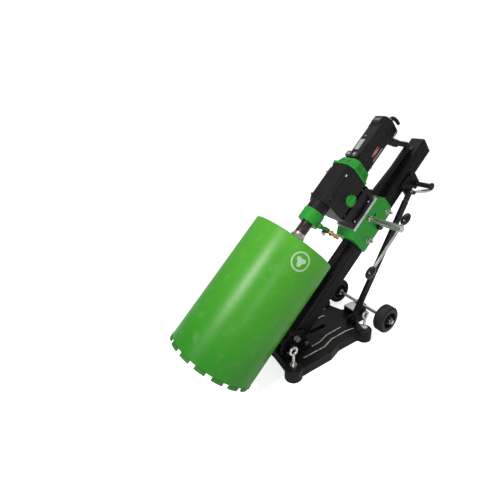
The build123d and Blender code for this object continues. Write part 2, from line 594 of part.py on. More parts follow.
SELECTOR_A = 386.0
SELECTOR_N = 47.0
FOOT_HALF = 35.0
HANDLE_SEAT_A = 462.0
FOOT_PROFILE = [
    (GEARBOX_N[1], 337), (PLATE_N[0], 345), (PLATE_N[0], 455), (124, HANDLE_SEAT_A), (GEARBOX_N[1], HANDLE_SEAT_A),
]
LAY_R = 5.0
LAY_CENTRE_LOW = SPINDLE_MODULE * (LAY_PINION_TEETH + SPINDLE_TEETH) / 2
LAY_CENTRE_HIGH = MOTOR_MODULE * (ARMATURE_TEETH + LAY_GEAR_TEETH) / 2
LAY_N = (LAY_CENTRE_LOW ** 2 - LAY_CENTRE_HIGH ** 2 + MOTOR_AXIS_N ** 2) / (2 * MOTOR_AXIS_N)
LAY_X = (LAY_CENTRE_LOW ** 2 - LAY_N ** 2) ** 0.5
case_half = GEARBOX_HALF - CASE_WALL
case_n = (GEARBOX_N[0] + CASE_WALL, GEARBOX_N[1] - CASE_WALL)
with BuildPart() as gearbox_housing:
    slab(across(GEARBOX_A[0]), octagon(GEARBOX_HALF, *GEARBOX_N, 17), GEARBOX_A[1] - GEARBOX_A[0])
    slab(across(GEARBOX_A[0] + 6), octagon(case_half, *case_n, 16), GEARBOX_A[1], mode=Mode.SUBTRACT)
    rod(across(GEARBOX_A[0] - 1), 21, 10, mode=Mode.SUBTRACT)
    for side in (1, -1):
        for n in (-16.0, -11.0):
            with BuildSketch(across(GEARBOX_A[0] + 10, side * (38.5 + (n + 13.5) * 1.0), n)) as rib:
                Rectangle(3.6, 3.6, rotation=45)
            extrude(rib.sketch, amount=105, dir=UP_COLUMN)
    slab(across(GEARBOX_A[0] + 6), octagon(case_half, *case_n, 16), GEARBOX_A[1], mode=Mode.SUBTRACT)
    ring(across(GEARBOX_A[0] + 6, LAY_X, LAY_N), LAY_R + 3.5, LAY_R + RUNNING, 10)
    slab(beside(-FOOT_HALF), FOOT_PROFILE, 2 * FOOT_HALF)
    for x in (-FOOT_HALF - 1, FOOT_HALF - 7):
        slab(beside(x), [(96, 352), (128, 352), (128, 448), (96, 448)], 8, mode=Mode.SUBTRACT)
    ring(beside(GEARBOX_HALF - 0.2, SELECTOR_A, SELECTOR_N), 22, 7, 2.2)
finish(gearbox_housing, "gearbox_housing")
with BuildPart() as gearbox_nose:
    rod(across(NOSE_A[0]), 29.5, NOSE_A[1] - NOSE_A[0])
    rod(across(NOSE_A[1]), 20.9, 5.9)
    rod(across(NOSE_A[0] - 1), 14.5, 40, mode=Mode.SUBTRACT)
    rod(across(NOSE_A[0] + 12), 18, 40, mode=Mode.SUBTRACT)
finish(gearbox_nose, "gearbox_nose")
with BuildPart() as vent_band:
    with BuildSketch(across(BAND_A[0])) as lower:
        Polygon(*octagon(GEARBOX_HALF, *GEARBOX_N, 17), align=None)
    with BuildSketch(across(BAND_A[1])) as upper:
        Polygon(*octagon(BAND_TOP_HALF, *BAND_TOP_N, 12), align=None)
    loft([lower.sketch, upper.sketch], ruled=True)
    lip_n = (GEARBOX_N[0] - BAND_LIP, GEARBOX_N[1])
    slab(across(BAND_A[0]), octagon(GEARBOX_HALF + BAND_LIP, *lip_n, 18), 6)
    slab(across(BAND_A[0] - 1), octagon(31, -5, 67, 12), 50, mode=Mode.SUBTRACT)
    for n in (14, 44):
        with BuildSketch(beside(-60, (BAND_A[0] + BAND_A[1]) / 2, n)) as side_slots:
            with Locations((-4, 0), (4, 0)):
                SlotOverall(24, 3.2, rotation=90)
        extrude(side_slots.sketch, amount=120, dir=SIDEWAYS, mode=Mode.SUBTRACT)
    with BuildSketch(facing(0, (BAND_A[0] + BAND_A[1]) / 2)) as front_slots:
        with Locations((-12, -4), (-12, 4), (12, -4), (12, 4)):
            SlotOverall(20, 3.2)
    extrude(front_slots.sketch, amount=60, dir=-REARWARD, mode=Mode.SUBTRACT)
finish(vent_band, "vent_band")
with BuildPart() as bearing_plates:
    slab(across(BAND_A[0] + 4), octagon(30.6, -4.6, 66.6, 12), 6)
    rod(across(BAND_A[0] + 3, 0, MOTOR_AXIS_N), 11, 8, mode=Mode.SUBTRACT)
    slab(across(404), octagon(case_half - 0.1, case_n[0] + 0.1, case_n[1] - 0.1, 16), 5)
    rod(across(403), 9 + RUNNING, 8, mode=Mode.SUBTRACT)
    rod(across(403, LAY_X, LAY_N), LAY_R + RUNNING, 8, mode=Mode.SUBTRACT)
finish(bearing_plates, "bearing_plates")
motor_wall = 3.0
BEARING_R = 11.0
BEARING_A = 630.0
SWITCH_A = 636.0
ROCKER_N = MOTOR_N[0] - 1.5
ROCKER_PIN_R = 1.6
with BuildPart() as motor_housing:
    slab(across(MOTOR_A[0]), octagon(MOTOR_HALF, *MOTOR_N, 15), MOTOR_A[1] - MOTOR_A[0])
    rod(across(MOTOR_A[0] - 1, 0, MOTOR_AXIS_N), MOTOR_HALF - motor_wall, 130, mode=Mode.SUBTRACT)
finish(motor_housing, "motor_housing")
BEZEL_PROFILE = [
    (MOTOR_N[0] - 1, SWITCH_A - 15), (MOTOR_N[0] - 6, SWITCH_A - 12), (MOTOR_N[0] - 4, SWITCH_A + 13),
    (MOTOR_N[0] - 1, SWITCH_A + 15),
]
with BuildPart() as motor_cap:
    slab(across(MOTOR_A[1]), octagon(MOTOR_HALF + 1, MOTOR_N[0] - 1, MOTOR_N[1] + 1, 15), MOTOR_END_A - MOTOR_A[1])
    chamfer(motor_cap.faces().sort_by(Axis(place(0, 0, 0), UP_COLUMN))[-1].edges(), length=4)
    rod(across(MOTOR_A[1] - 1, 0, MOTOR_AXIS_N), 29, MOTOR_END_A - MOTOR_A[1] - 4, mode=Mode.SUBTRACT)
    for side in (1, -1):
        with BuildSketch(beside(side * 34, SWITCH_A, MOTOR_AXIS_N + 8)) as vents:
            with GridLocations(6, 1, 5, 1):
                SlotOverall(20, 2.6, rotation=90)
        extrude(vents.sketch, amount=8, both=True, mode=Mode.SUBTRACT)
    ring(across(BEARING_A - 1, 0, MOTOR_AXIS_N), 29.5, BEARING_R, 8)
    slab(beside(-16), BEZEL_PROFILE, 32)
    bar(facing(MOTOR_N[0] + 2.5, SWITCH_A), 22, 14, 12, mode=Mode.SUBTRACT)
    rod(beside(-12.8, SWITCH_A, ROCKER_N), ROCKER_PIN_R + RUNNING, 25.6, mode=Mode.SUBTRACT)
finish(motor_cap, "motor_cap")
with BuildPart() as rocker_switch:
    slab(beside(-10.8), [
        (ROCKER_N + 1.4, SWITCH_A - 4), (ROCKER_N + 1.0, SWITCH_A - 5.4), (ROCKER_N - 6, SWITCH_A - 5),
        (ROCKER_N - 3.6, SWITCH_A), (ROCKER_N - 3.4, SWITCH_A + 5.4), (ROCKER_N + 1.0, SWITCH_A + 5.4),
        (ROCKER_N + 1.4, SWITCH_A + 4),
    ], 21.6)
    rod(beside(-12.6, SWITCH_A, ROCKER_N), ROCKER_PIN_R, 25.2)
finish(rocker_switch, "rocker_switch")
with BuildPart() as control_panel:
    bar(facing(MOTOR_N[0], 502), 46, 20, 9, corner=6)
    rod(facing(MOTOR_N[0] - 4, 502, -11), 6.3, 8, mode=Mode.SUBTRACT)
    rod(facing(MOTOR_N[0] - 4, 502, 11), 6.3, 8, mode=Mode.SUBTRACT)
finish(control_panel, "control_panel")
for x, name in ((-11, "panel_button_left"), (11, "panel_button_right")):
    with BuildPart() as button:
        rod(facing(MOTOR_N[0] - 5.5, 502, x), 6, 6)
    finish(button, name)
SLEEVE_PATH = [(18, MOTOR_END_A, 17), (19, 667, 24), (20, 676, 38), (21, 678, 56)]
SLEEVE_R = 6.0
with BuildPart() as cable_sleeve:
    with BuildLine() as sleeve_path:
        Spline(*[place(x, a, n) for x, a, n in SLEEVE_PATH], tangents=(UP_COLUMN, REARWARD))
    with BuildSketch(Plane(origin=sleeve_path.line @ 0, z_dir=sleeve_path.line % 0)) as sleeve_section:
        Circle(SLEEVE_R)
    sweep(sleeve_section.sketch, path=sleeve_path.line)
finish(cable_sleeve, "cable_sleeve")

HANDLE_PATH = [
    (0, 624, 60), (0, 655, 114), (0, 688, 158), (0, 684, 171.5), (0, 600, 171.5), (0, 492, 161), (0, 470, 128),
    (0, 452, 99),
]
GRIP_START = place(0, 634, 77.4)
GRIP_DIR = (place(0, 655, 114) - place(0, 624, 60)).normalized()
GRIP_UNDER = GRIP_DIR.cross(SIDEWAYS)
FINGER_STEP = 12.5
with BuildPart() as rear_handle:
    with BuildLine() as handle_path:
        FilletPolyline(*[place(x, a, n) for x, a, n in HANDLE_PATH], radius=9)
    with BuildSketch(Plane(origin=handle_path.line @ 0, x_dir=(1, 0, 0), z_dir=handle_path.line % 0)) as grip_section:
        RectangleRounded(20, 17, 7)
    sweep(grip_section.sketch, path=handle_path.line)
    bar(Plane(origin=GRIP_START, x_dir=SIDEWAYS, z_dir=GRIP_DIR), 23, 21, 46, corner=8)
    for finger in range(4):
        across_palm = GRIP_START + GRIP_DIR * (4 + FINGER_STEP * finger) + GRIP_UNDER * 7.5
        rod(Plane(origin=across_palm - SIDEWAYS * 8, z_dir=SIDEWAYS), 5.5, 16)
    slab(beside(-30), [(30, 590), (68, 590), (68, 660), (30, 660)], 60, mode=Mode.SUBTRACT)
    slab(beside(-30), [(60, 420), (150, 420), (150, HANDLE_SEAT_A), (60, HANDLE_SEAT_A)], 60, mode=Mode.SUBTRACT)
finish(rear_handle, "rear_handle")

# ---------------------------------------------------------------- gear train and motor inside

to_lay = atan2(LAY_N, LAY_X)
lay_to_motor = atan2(MOTOR_AXIS_N - LAY_N, -LAY_X)
LOW_GEARS_A = 385.0
HIGH_GEARS_A = 415.0
with BuildPart() as spindle_gear:
    slab(across(LOW_GEARS_A), gear_points(SPINDLE_MODULE, SPINDLE_TEETH, to_lay), 14)
    rod(across(LOW_GEARS_A - 1), 11, 16, mode=Mode.SUBTRACT)
finish(spindle_gear, "spindle_gear")
with BuildPart() as layshaft:
    rod(across(336, LAY_X, LAY_N), LAY_R, 112)
    half_step = pi / LAY_PINION_TEETH
    slab(across(LOW_GEARS_A, LAY_X, LAY_N), gear_points(SPINDLE_MODULE, LAY_PINION_TEETH, to_lay + pi + half_step), 14)
    slab(across(HIGH_GEARS_A, LAY_X, LAY_N), gear_points(MOTOR_MODULE, LAY_GEAR_TEETH, lay_to_motor), 12)
finish(layshaft, "layshaft")
ARMATURE_R = 22.0
with BuildPart() as armature:
    half_step = pi / ARMATURE_TEETH
    slab(across(HIGH_GEARS_A - 1, 0, MOTOR_AXIS_N),
         gear_points(MOTOR_MODULE, ARMATURE_TEETH, lay_to_motor + pi + half_step), 14)
    rod(across(HIGH_GEARS_A + 13, 0, MOTOR_AXIS_N), 4.5, 213)
    rod(across(522, 0, MOTOR_AXIS_N), ARMATURE_R, 74)
    rod(across(606, 0, MOTOR_AXIS_N), 13, 18)
    rod(across(496, 0, MOTOR_AXIS_N), 10, 10)
    rod(across(496, 0, MOTOR_AXIS_N), 27, 2)
    with BuildSketch(across(498, 0, MOTOR_AXIS_N)) as blades:
        with PolarLocations(18, 9):
            Rectangle(17, 1.6, rotation=20)
    extrude(blades.sketch, amount=8, dir=UP_COLUMN)
finish(armature, "armature")
with BuildPart() as stator:
    ring(across(520, 0, MOTOR_AXIS_N), 30.9, ARMATURE_R + 0.7, 78)
finish(stator, "stator")
with BuildPart() as carbon_brushes:
    for side in (1, -1):
        bar(across(609, side * 19.5, MOTOR_AXIS_N), 12, 7, 10)
finish(carbon_brushes, "carbon_brushes")
with BuildPart() as drill_bearings:
    ring(across(BAND_A[0] + 4, 0, MOTOR_AXIS_N), BEARING_R, 4.5 + RUNNING, 6)
    ring(across(BEARING_A, 0, MOTOR_AXIS_N), BEARING_R, 4.5 + RUNNING, 7)
    ring(across(NOSE_A[0] + 14), 18, 12.5 + RUNNING, 14)
finish(drill_bearings, "drill_bearings")

with BuildPart() as gear_selector:
    rod(beside(GEARBOX_HALF + 2.3, SELECTOR_A, SELECTOR_N), 17, 7)
    with BuildSketch(beside(GEARBOX_HALF + 9.3, SELECTOR_A, SELECTOR_N)) as pointer:
        RectangleRounded(8, 31, 3)
    extrude(pointer.sketch, amount=5, dir=SIDEWAYS)
    rod(beside(GEARBOX_HALF + 0.2, SELECTOR_A, SELECTOR_N), 6.9, 2.2)
finish(gear_selector, "gear_selector")

# ---------------------------------------------------------------- spindle, water swivel and core bit

with BuildPart() as drill_spindle:
    rod(across(208), 10, 20)
    rod(across(SPINDLE_COLLAR_A[0]), 17, SPINDLE_COLLAR_A[1] - SPINDLE_COLLAR_A[0])
    with BuildSketch(across(SPINDLE_COLLAR_A[0] + 8)) as flutes:
        with PolarLocations(17.5, 12):
            Circle(2.2)
    extrude(flutes.sketch, amount=20, dir=UP_COLUMN, mode=Mode.SUBTRACT)
    rod(across(SPINDLE_COLLAR_A[1]), 14, 52)
    rod(across(313), 12.5, 40)
    rod(across(353), 11, 48)
    rod(across(401), 9, 12)
finish(drill_spindle, "drill_spindle")
with BuildPart() as hex_adaptor:
    hexagon(across(ADAPTOR_A[0]), 37, ADAPTOR_A[1] - ADAPTOR_A[0] - 8)
    rod(across(ADAPTOR_A[1] - 8), 18, 8)
    rod(across(208), 10, 20, mode=Mode.SUBTRACT)
finish(hex_adaptor, "hex_adaptor")
with BuildPart() as water_swivel:
    rod(across(SWIVEL_A[0]), 32, SWIVEL_A[1] - SWIVEL_A[0] - 0.3)
    fillet(water_swivel.edges().filter_by(GeomType.CIRCLE), radius=1.2)
    rod(across(276, 0, 0), 30, 12)
    rod(Plane(origin=place(0, 274, 0), z_dir=(SIDEWAYS * 0.8 + REARWARD * 0.6)), 8, 40)
    rod(across(SWIVEL_A[0] - 1), 14 + RUNNING, 60, mode=Mode.SUBTRACT)
    rod(across(270), 17, 14, mode=Mode.SUBTRACT)
    rod(Plane(origin=place(0, 274, 0), z_dir=(SIDEWAYS * 0.8 + REARWARD * 0.6)), 4, 45, mode=Mode.SUBTRACT)
finish(water_swivel, "water_swivel")
VALVE_DIR = SIDEWAYS * 0.8 + REARWARD * 0.6
valve_root = place(0, 274, 0) + VALVE_DIR * 40


def along_valve(distance):
    return Plane(origin=valve_root + VALVE_DIR * distance, z_dir=VALVE_DIR)


with BuildPart() as water_valve:
    rod(along_valve(0), 5.5, 8)
    rod(along_valve(8), 7.5, 16)
    rod(along_valve(24), 5, 6)
    rod(along_valve(30), 8, 6)
    rod(along_valve(36), 5, 10)
    rod(along_valve(46), 7, 4)
    rod(along_valve(50), 5.5, 8)
    rod(along_valve(-1), 2.5, 70, mode=Mode.SUBTRACT)
finish(water_valve, "water_valve")
valve_side = (VALVE_DIR.cross(UP_COLUMN)).normalized()
valve_stem = valve_root + VALVE_DIR * 16 - UP_COLUMN * 7.7
with BuildPart() as valve_lever:
    rod(Plane(origin=valve_stem, z_dir=-UP_COLUMN), 4, 5)
    bar(Plane(origin=valve_stem - UP_COLUMN * 5, x_dir=valve_side, z_dir=-UP_COLUMN), 10, 10, 4, corner=3)
    with BuildSketch(Plane(origin=valve_stem - UP_COLUMN * 5 + valve_side * 16, x_dir=valve_side, z_dir=-UP_COLUMN)) as paddle:
        RectangleRounded(28, 9, 3)
    extrude(paddle.sketch, amount=4)
finish(valve_lever, "valve_lever")
with BuildPart() as core_bit_tube:
    rod(across(BIT_FOOT_A), BIT_R, BIT_TOP_A - BIT_FOOT_A)
    fillet(core_bit_tube.edges().sort_by(Axis(place(0, 0, 0), UP_COLUMN))[-1], radius=2)
    rod(across(BIT_FOOT_A - 1), BIT_R - BIT_WALL, BIT_TOP_A - BIT_FOOT_A + 1 - BIT_PLATE, mode=Mode.SUBTRACT)
finish(core_bit_tube, "core_bit_tube")
with BuildPart() as bit_segments:
    half_turn = degrees(SEGMENT_LEN / SEGMENT_R[1]) / 2
    with BuildSketch(across(BIT_FOOT_A - SEGMENT_TALL)) as segments:
        Circle(SEGMENT_R[1])
        Circle(SEGMENT_R[0], mode=Mode.SUBTRACT)
        with PolarLocations(0, SEGMENTS):
            Polygon((0, 0), (200, 200 * tan(radians(half_turn))), (200, -200 * tan(radians(half_turn))),
                    align=None, mode=Mode.INTERSECT)
    extrude(segments.sketch, amount=SEGMENT_TALL, dir=UP_COLUMN)
finish(bit_segments, "bit_segments")
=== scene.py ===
"""Core drill rig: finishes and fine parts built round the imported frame."""
import math

import bmesh
import bpy
from mathutils import Matrix, Vector


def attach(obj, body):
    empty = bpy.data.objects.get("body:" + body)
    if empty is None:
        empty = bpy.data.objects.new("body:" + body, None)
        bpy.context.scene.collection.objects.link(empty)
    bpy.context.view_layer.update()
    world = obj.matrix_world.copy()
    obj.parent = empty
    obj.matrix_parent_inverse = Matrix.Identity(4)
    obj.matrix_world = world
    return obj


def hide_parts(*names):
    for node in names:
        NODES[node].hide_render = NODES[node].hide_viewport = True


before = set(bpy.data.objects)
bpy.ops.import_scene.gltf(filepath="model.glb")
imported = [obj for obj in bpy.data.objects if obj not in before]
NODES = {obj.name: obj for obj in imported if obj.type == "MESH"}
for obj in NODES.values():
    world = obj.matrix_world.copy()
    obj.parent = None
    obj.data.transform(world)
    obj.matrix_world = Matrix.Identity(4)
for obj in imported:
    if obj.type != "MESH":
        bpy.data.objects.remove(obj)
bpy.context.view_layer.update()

# ---------------------------------------------------------------- the column's own axes

LEAN = math.radians(45)
BIT_CENTRE = Vector((0, -0.208, 0.230))
UP_COLUMN = Vector((0, math.sin(LEAN), math.cos(LEAN)))
REARWARD = Vector((0, math.cos(LEAN), -math.sin(LEAN)))
RIGHT = Vector((1, 0, 0))
VALVE_WAY = RIGHT * 0.8 + REARWARD * 0.6

# Millimetres in the column's axes: A up it, N rearward and X across, all from the bit's centre.
BIT_PAINT_A = (-186, 194)
BIT_PAINT_R = 124.5
EMBLEM_A = 151.0
EMBLEM_TURN = math.radians(67.8)
VALVE_A = 274
SWIVEL_SCREW_A = 292
CASE_X = 42
CASE_FRONT_N = -14.6
MOTOR_X = 34
MOTOR_END_A = 655
PANEL_BUTTON_X = 11
PANEL_A = 502

# Metres in the row frame.
VALVE_BARE_FROM = 0.066
RIB_TOP = 0.0292
WHEEL_CENTRE_YZ = (0.2334, 0.0514)
WHEEL_FACE_X = 0.136
LEVER_LINE = [(0.064, 0.404, 0.457), (0.0695, 0.4165, 0.4569), (0.0745, 0.429, 0.4571), (0.080, 0.447, 0.459)]
LEVER_HALF_WIDE = 0.0042
LEVER_HALF_HIGH = 0.0066

SHARP_EDGE = math.radians(38)


def place(x, a, n):
    """Row-frame point from millimetres across, up and behind the bit's axis."""
    return BIT_CENTRE + (RIGHT * x + UP_COLUMN * a + REARWARD * n) / 1000


def column_matrix(x, a, n, facing):
    """Matrix whose local Z points to the front, right or left of the column, or up it, at a point."""
    turns = {
        "front": (RIGHT, UP_COLUMN, -REARWARD),
        "right": (REARWARD, UP_COLUMN, RIGHT),
        "left": (-REARWARD, UP_COLUMN, -RIGHT),
        "up": (RIGHT, -REARWARD, UP_COLUMN),
    }
    across, along, out = turns[facing]
    m = Matrix((across, along, out)).transposed().to_4x4()
    m.translation = place(x, a, n)
    return m


# ---------------------------------------------------------------- shader helpers


def group(name, inputs, outputs):
    """An empty node group with named sockets: (name, kind, default) in, (name, kind) out."""
    tree = bpy.data.node_groups.new(name, "ShaderNodeTree")
    for label, kind, default in inputs:
        socket = tree.interface.new_socket(label, in_out="INPUT", socket_type=f"NodeSocket{kind}")
        socket.default_value = default
    for label, kind in outputs:
        tree.interface.new_socket(label, in_out="OUTPUT", socket_type=f"NodeSocket{kind}")
    entry = tree.nodes.new("NodeGroupInput")
    leave = tree.nodes.new("NodeGroupOutput")
    return tree, entry.outputs, leave.inputs


def node(tree, kind, links=None, **settings):
    """A shader node with its settings, and its inputs linked or set by name or number."""
    made = tree.nodes.new(f"ShaderNode{kind}")
    for key, value in settings.items():
        setattr(made, key, value)
    for key, value in (links or {}).items():
        socket = made.inputs[key]
        if isinstance(value, bpy.types.NodeSocket):
            tree.links.new(value, socket)
        else:
            socket.default_value = value
    return made


def maths(tree, operation, first, second, clamp=False):
    return node(tree, "Math", {0: first, 1: second}, operation=operation, use_clamp=clamp).outputs[0]


def spread(tree, value, low, high, to_low=0.0, to_high=1.0):
    """Value stretched from one range to another, and clamped."""
    links = {"Value": value, "From Min": low, "From Max": high, "To Min": to_low, "To Max": to_high}
    return node(tree, "MapRange", links).outputs[0]


def mix(tree, share, first, second):
    made = node(tree, "Mix", {"Factor": share}, data_type="RGBA")
    for socket, value in ((made.inputs[6], first), (made.inputs[7], second)):
        if isinstance(value, bpy.types.NodeSocket):
            tree.links.new(value, socket)
        else:
            socket.default_value = value
    return made.outputs[2]


def object_point(tree):
    return node(tree, "TexCoord").outputs["Object"]


def surface_normal(tree):
    return node(tree, "NewGeometry").outputs["Normal"]


def vertical_part(tree, vector):
    return node(tree, "SeparateXYZ", {0: vector}).outputs[2]


def distance_along(tree, point, way):
    return node(tree, "VectorMath", {0: point, 1: way}, operation="DOT_PRODUCT").outputs["Value"]


def bumped(tree, shader, **links):
    """Bump from Height, Strength and Distance, over the Normal where one is given."""
    tree.links.new(node(tree, "Bump", links).outputs[0], shader.inputs["Normal"])


def noise(tree, vector, scale, detail=3.0, roughness=0.55):
    links = {"Vector": vector, "Scale": scale, "Detail": detail, "Roughness": roughness}
    return node(tree, "TexNoise", links).outputs["Fac"]


def rgba(colour):
    return (*colour, 1.0)


def plain(tree, colour):
    """Output of a node that holds one colour."""
    out = node(tree, "RGB").outputs[0]
    out.default_value = rgba(colour)
    return out


# ---------------------------------------------------------------- shared effects


def make_edge_wear():
    """Mask of worn corners, broken up by noise, and the softened normal that goes with it."""
    tree, given, out = group(
        "edge_wear",
        [("Radius", "Float", 0.0012), ("Amount", "Float", 0.5), ("Breakup", "Float", 90.0)],
        [("Mask", "Float"), ("Normal", "Vector")],
    )
    soft = node(tree, "Bevel", {"Radius": given["Radius"]}, samples=6).outputs[0]
    alike = distance_along(tree, soft, surface_normal(tree))
    edge = spread(tree, maths(tree, "SUBTRACT", 1.0, alike), 0.015, 0.12)
    here = object_point(tree)
    patches = spread(tree, noise(tree, here, given["Breakup"], 4.0), 0.42, 0.62)
    worn = maths(tree, "MULTIPLY", edge, patches)
    tree.links.new(maths(tree, "MULTIPLY", worn, given["Amount"], clamp=True), out["Mask"])
    tree.links.new(soft, out["Normal"])
    return tree


def make_grain():
    """Fine bump of a casting, powder coat or moulding, with a broad unevenness under it."""
    tree, given, out = group(
        "grain",
        [("Scale", "Float", 900.0), ("Broad", "Float", 18.0), ("Mottle", "Float", 0.5)],
        [("Height", "Float"), ("Tone", "Float")],
    )
    here = object_point(tree)
    fine = noise(tree, here, given["Scale"], 2.0)
    broad = noise(tree, here, given["Broad"], 4.0)
    height = maths(tree, "ADD", maths(tree, "MULTIPLY", fine, 0.7), maths(tree, "MULTIPLY", broad, 0.3))
    tree.links.new(height, out["Height"])
    tone = maths(tree, "MULTIPLY", maths(tree, "SUBTRACT", broad, 0.5), given["Mottle"])
    tree.links.new(tone, out["Tone"])
    return tree


def make_dust():
    """Mask of pale dust that settles on upward faces."""
    tree, given, out = group(
        "dust", [("Amount", "Float", 0.3), ("Scale", "Float", 25.0)], [("Mask", "Float")]
    )
    upward = spread(tree, vertical_part(tree, surface_normal(tree)), 0.2, 1.0)
    here = object_point(tree)
    cloud = spread(tree, noise(tree, here, given["Scale"], 6.0, 0.65), 0.4, 0.8)
    mask = maths(tree, "MULTIPLY", maths(tree, "MULTIPLY", upward, cloud), given["Amount"])
    tree.links.new(mask, out["Mask"])
    return tree


def make_turning():
    """Fine lines round or along an axis, as turning, drawing or grinding leaves them."""
    tree, given, out = group(
        "turning",
        [("Axis", "Vector", (0, 0, 1)), ("Scale", "Float", 1600.0), ("Streak", "Float", 0.02)],
        [("Height", "Float"), ("Streaks", "Float")],
    )
    here = object_point(tree)
    along = distance_along(tree, here, given["Axis"])
    shift = node(tree, "VectorMath", {0: given["Axis"], 3: along}, operation="SCALE").outputs[0]
    across = node(tree, "VectorMath", {0: here, 1: shift}, operation="SUBTRACT").outputs[0]
    thin = node(tree, "VectorMath", {0: across, 3: given["Streak"]}, operation="SCALE").outputs[0]
    stretched = node(tree, "VectorMath", {0: thin, 1: shift}, operation="ADD").outputs[0]
    lines = noise(tree, stretched, given["Scale"], 2.0)
    tree.links.new(lines, out["Height"])
    broad = noise(tree, stretched, maths(tree, "MULTIPLY", given["Scale"], 0.08), 3.0)
    tree.links.new(broad, out["Streaks"])
    return tree


EDGE_WEAR = make_edge_wear()
GRAIN = make_grain()
DUST = make_dust()
TURNING = make_turning()


def effect(tree, which, **values):
    made = tree.nodes.new("ShaderNodeGroup")
    made.node_tree = which
    for key, value in values.items():
        socket = made.inputs[key]
        if isinstance(value, bpy.types.NodeSocket):
            tree.links.new(value, socket)
        else:
            socket.default_value = value
    return made.outputs


def new_material(name):
    made = bpy.data.materials.new(name)
    made.use_nodes = True
    tree = made.node_tree
    shader = next(n for n in tree.nodes if n.type == "BSDF_PRINCIPLED")
    return made, tree, shader


def lit(tree, value, tone):
    """Colour made lighter or darker by a tone that runs either side of zero."""
    gain = maths(tree, "ADD", 1.0, tone)
    return node(tree, "VectorMath", {0: value, 3: gain}, operation="SCALE").outputs[0]


def coated(name, colour, under, *, rough=(0.38, 0.55), scale=900.0, bump=0.12, wear=0.5, dust=0.15,
           mottle=0.35, radius=0.0012, coat=0.0, shine=0.24, breakup=90.0):
    """Paint, powder coat or moulded plastic over what shows where its corners are worn."""
    made, tree, shader = new_material(name)
    edge = effect(tree, EDGE_WEAR, Radius=radius, Amount=wear, Breakup=breakup)
    grain = effect(tree, GRAIN, Scale=scale, Mottle=mottle)
    settled = effect(tree, DUST, Amount=dust)
    toned = lit(tree, plain(tree, colour), grain["Tone"])
    dusty = mix(tree, settled["Mask"], toned, rgba((0.32, 0.30, 0.27)))
    tree.links.new(mix(tree, edge["Mask"], dusty, rgba(under)), shader.inputs["Base Color"])
    rougher = spread(tree, grain["Height"], 0.35, 0.65, *rough)
    rougher = maths(tree, "ADD", rougher, maths(tree, "MULTIPLY", settled["Mask"], 0.3), clamp=True)
    tree.links.new(rougher, shader.inputs["Roughness"])
    bumped(tree, shader, Height=grain["Height"], Normal=edge["Normal"], Strength=bump, Distance=0.0004)
    shader.inputs["Coat Weight"].default_value = coat
    shader.inputs["Specular IOR Level"].default_value = shine
    return made


def bare_metal(name, colour, dark, *, axis=(0, 0, 1), rough=(0.22, 0.42), scale=1600.0, streak=0.02,
               bump=0.08, blotch=0.5):
    """Machined, turned or plated metal with its tool lines and a little tarnish."""
    made, tree, shader = new_material(name)
    edge = effect(tree, EDGE_WEAR, Radius=0.0006, Amount=0.0)
    lines = effect(tree, TURNING, Axis=axis, Scale=scale, Streak=streak)
    grain = effect(tree, GRAIN, Scale=240.0, Broad=60.0)
    stain = spread(tree, grain["Tone"], 0.02, 0.16, 0.0, blotch)
    shade = maths(tree, "MAXIMUM", stain, spread(tree, lines["Streaks"], 0.5, 0.75, 0.0, 0.4))
    tree.links.new(mix(tree, shade, rgba(colour), rgba(dark)), shader.inputs["Base Color"])
    tree.links.new(spread(tree, lines["Height"], 0.3, 0.7, *rough), shader.inputs["Roughness"])
    shader.inputs["Metallic"].default_value = 1.0
    bumped(tree, shader, Height=lines["Height"], Normal=edge["Normal"], Strength=bump, Distance=0.0002)
    return made


# ---------------------------------------------------------------- finishes

GREEN = (0.022, 0.30, 0.030)
NEAR_BLACK = (0.0042, 0.0042, 0.0046)

cast_black = coated("cast_black_coat", NEAR_BLACK, (0.34, 0.33, 0.31), rough=(0.34, 0.50), scale=520,
                    bump=0.30, wear=0.45, dust=0.04, breakup=60, shine=0.18)
column_black = coated("column_anodise", (0.0045, 0.0045, 0.005), (0.30, 0.30, 0.30), rough=(0.30, 0.42),
                      scale=1300, bump=0.06, wear=0.35, dust=0.02, radius=0.0008, shine=0.15)
gear_case_black = coated("gear_case_paint", (0.008, 0.008, 0.0085), (0.16, 0.16, 0.16), rough=(0.30, 0.42),
                         scale=700, bump=0.10, wear=0.25, dust=0.05, radius=0.0018)
case_black = coated("case_moulding", (0.0075, 0.0075, 0.008), (0.10, 0.10, 0.10), rough=(0.36, 0.48),
                    scale=1500, bump=0.10, wear=0.20, dust=0.05, radius=0.0014)
rubber_black = coated("sleeve_rubber", (0.010, 0.010, 0.010), (0.05, 0.05, 0.05), rough=(0.55, 0.7),
                      scale=1200, bump=0.08, wear=0.1, dust=0.08)
carriage_green = coated("carriage_green", GREEN, (0.25, 0.5, 0.2), rough=(0.30, 0.42), scale=600, bump=0.16,
                        wear=0.35, dust=0.04, radius=0.0012)
tyre_rubber = coated("tyre_rubber", (0.014, 0.0125, 0.0115), (0.05, 0.047, 0.044), rough=(0.68, 0.85),
                     scale=500, bump=0.22, wear=0.5, dust=0.2)
hub_black = coated("hub_moulding", (0.007, 0.007, 0.0075), (0.08, 0.08, 0.08), rough=(0.32, 0.45), scale=1000,
                   bump=0.06, wear=0.2, dust=0.08)
knob_black = coated("knob_moulding", (0.008, 0.008, 0.009), (0.05, 0.05, 0.05), rough=(0.16, 0.24), scale=300,
                    bump=0.02, wear=0.1, dust=0.03, coat=0.4)
switch_grey = coated("switch_grey", (0.14, 0.14, 0.135), (0.25, 0.25, 0.25), rough=(0.4, 0.5), scale=1200,
                     bump=0.06, wear=0.3)
button_white = coated("button_white", (0.62, 0.62, 0.60), (0.7, 0.7, 0.7), rough=(0.25, 0.35), scale=900,
                      bump=0.03, wear=0.1)
carbon = coated("carbon", (0.03, 0.03, 0.03), (0.08, 0.08, 0.08))
